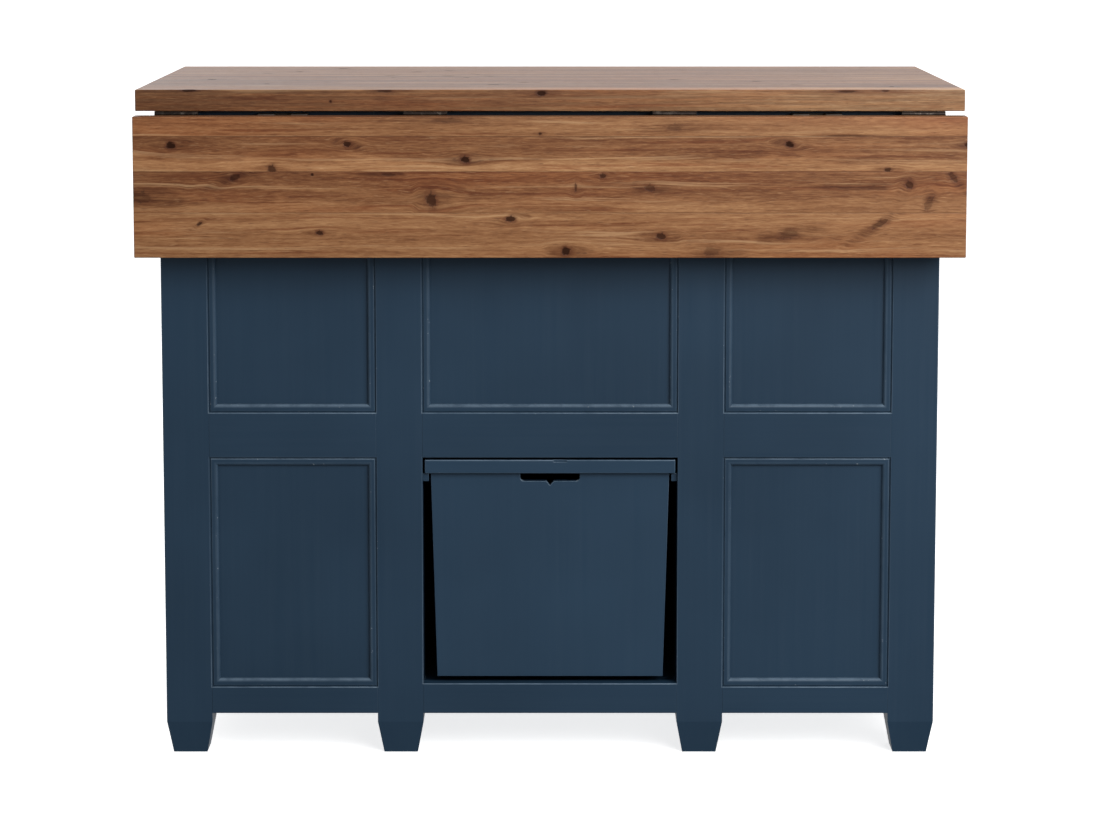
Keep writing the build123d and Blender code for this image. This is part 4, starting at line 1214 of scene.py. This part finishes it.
# How much of a wood screw's length its head takes up
HEAD_SHARE = 1.5 * MM


class COUNTER_OT_fittings(Operator):
    """Finishes the hinges, knobs, catches, pins and screws"""

    bl_idname = "counter.fittings"
    bl_label = "Metal fittings"

    def execute(self, context):
        # The darkened iron's paler rubbed patches also stand in for glints on the hinges: partly rubbed
        # metal, partly painted highlight.
        dark = aged_metal("Darkened iron", srgb(52, 46, 43), srgb(122, 114, 106), 0.46, scratch=0.6,
                          rubbed_from=0.5)
        steel = aged_metal("Steel", srgb(126, 124, 121), srgb(182, 180, 176), 0.34, scratch=0.8)
        brass = aged_metal("Knob metal", srgb(70, 62, 52), srgb(134, 118, 94), 0.38, scratch=0.4)
        for node in ("leaf_hinge_plates", "leaf_hinge_flaps", "leaf_hinge_pins"):
            smoothed(node, dark)
        for node in ("shelf_pins", "support_arm_pins"):
            smoothed(node, steel)
        softened("door_catches", steel, CATCH_EDGE)
        screws = screw_tree()
        for node in ("door_hinges", "door_left_fittings", "door_right_fittings"):
            places = []
            for points in islands(node):
                low, high = span_of(points)
                if high.x - low.x < PLATE_WIDTH or high.z - low.z < PLATE_HEIGHT:
                    continue
                outer = max if (abs(high.x) > abs(low.x)) == (node == "door_hinges") else min
                edge = outer(point.x for point in points)
                plate = [point for point in points if abs(point.x - edge) < EDGE_BAND]
                face = max(point.y for point in plate)
                inward = 1 if edge < (low.x + high.x) / 2 else -1
                for up, along in PLATE_SCREWS:
                    place = (edge + inward * along * MM, face + HEAD_PROUD, (low.z + high.z) / 2 + up * MM)
                    places.append((place, {"turn": (-math.pi / 2, 0, 0), "reach": (1, 1, SHORT_REACH)}))
            heads = screws.grown(places, Material=dark, **PLATE_SCREW)
            smoothed(node, dark, [heads])
        for node, facing, metal in (("worktop_screws", Z, steel), ("leaf_hinge_screws", Y, dark)):
            places = []
            for points in islands(node):
                low, high = span_of(points)
                place = (low + high) / 2
                place[facing] = high.y if facing == Y else low.z
                turn = (-math.pi / 2, 0, 0) if facing == Y else (math.pi, 0, 0)
                places.append((place, {"turn": turn, "reach": (1, 1, (high - low)[facing] - HEAD_SHARE)}))
            mesh = screws.grown(places, Material=metal, **WOOD_SCREW)
            shade(mesh, 30)
            place_piece(f"{node}_cross_headed", mesh, metal, [node])
        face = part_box("door_left_frame")[1][Y]
        for node in ("drawer_lower_knobs", "drawer_upper_knobs", "door_left_knob", "door_right_knob"):
            turned(node, KNOB, face, brass)
        return {"FINISHED"}


class COUNTER_PT_panel(Panel):
    """Lists what the counter is made of"""

    bl_label = "Bar counter"
    bl_idname = "COUNTER_PT_panel"
    bl_space_type = "VIEW_3D"
    bl_region_type = "UI"
    bl_category = "Counter"

    def draw(self, context):
        layout = self.layout
        for step in steps:
            layout.operator(step.bl_idname)
        for holder in ("counter_wood", "counter_paint", "counter_studio"):
            group = getattr(context.scene, holder)
            box = layout.box()
            for name in group.__annotations__:
                box.prop(group, name)


looks = {"counter_wood": CounterWood, "counter_paint": CounterPaint, "counter_studio": CounterStudio}
steps = (
    COUNTER_OT_stage, COUNTER_OT_worktop, COUNTER_OT_leaf, COUNTER_OT_frame, COUNTER_OT_mouldings,
    COUNTER_OT_tub, COUNTER_OT_storage, COUNTER_OT_supports, COUNTER_OT_fittings,
)


def register():
    for made in (*looks.values(), *steps, COUNTER_PT_panel):
        bpy.utils.register_class(made)
    for name, made in looks.items():
        setattr(bpy.types.Scene, name, PointerProperty(type=made))


def unregister():
    for name in looks:
        delattr(bpy.types.Scene, name)
    for made in (COUNTER_PT_panel, *reversed(steps), *looks.values()):
        bpy.utils.unregister_class(made)


def main():
    register()
    for step in steps:
        group, name = step.bl_idname.split(".")
        getattr(getattr(bpy.ops, group), name)()


if __name__ == "__main__":
    main()
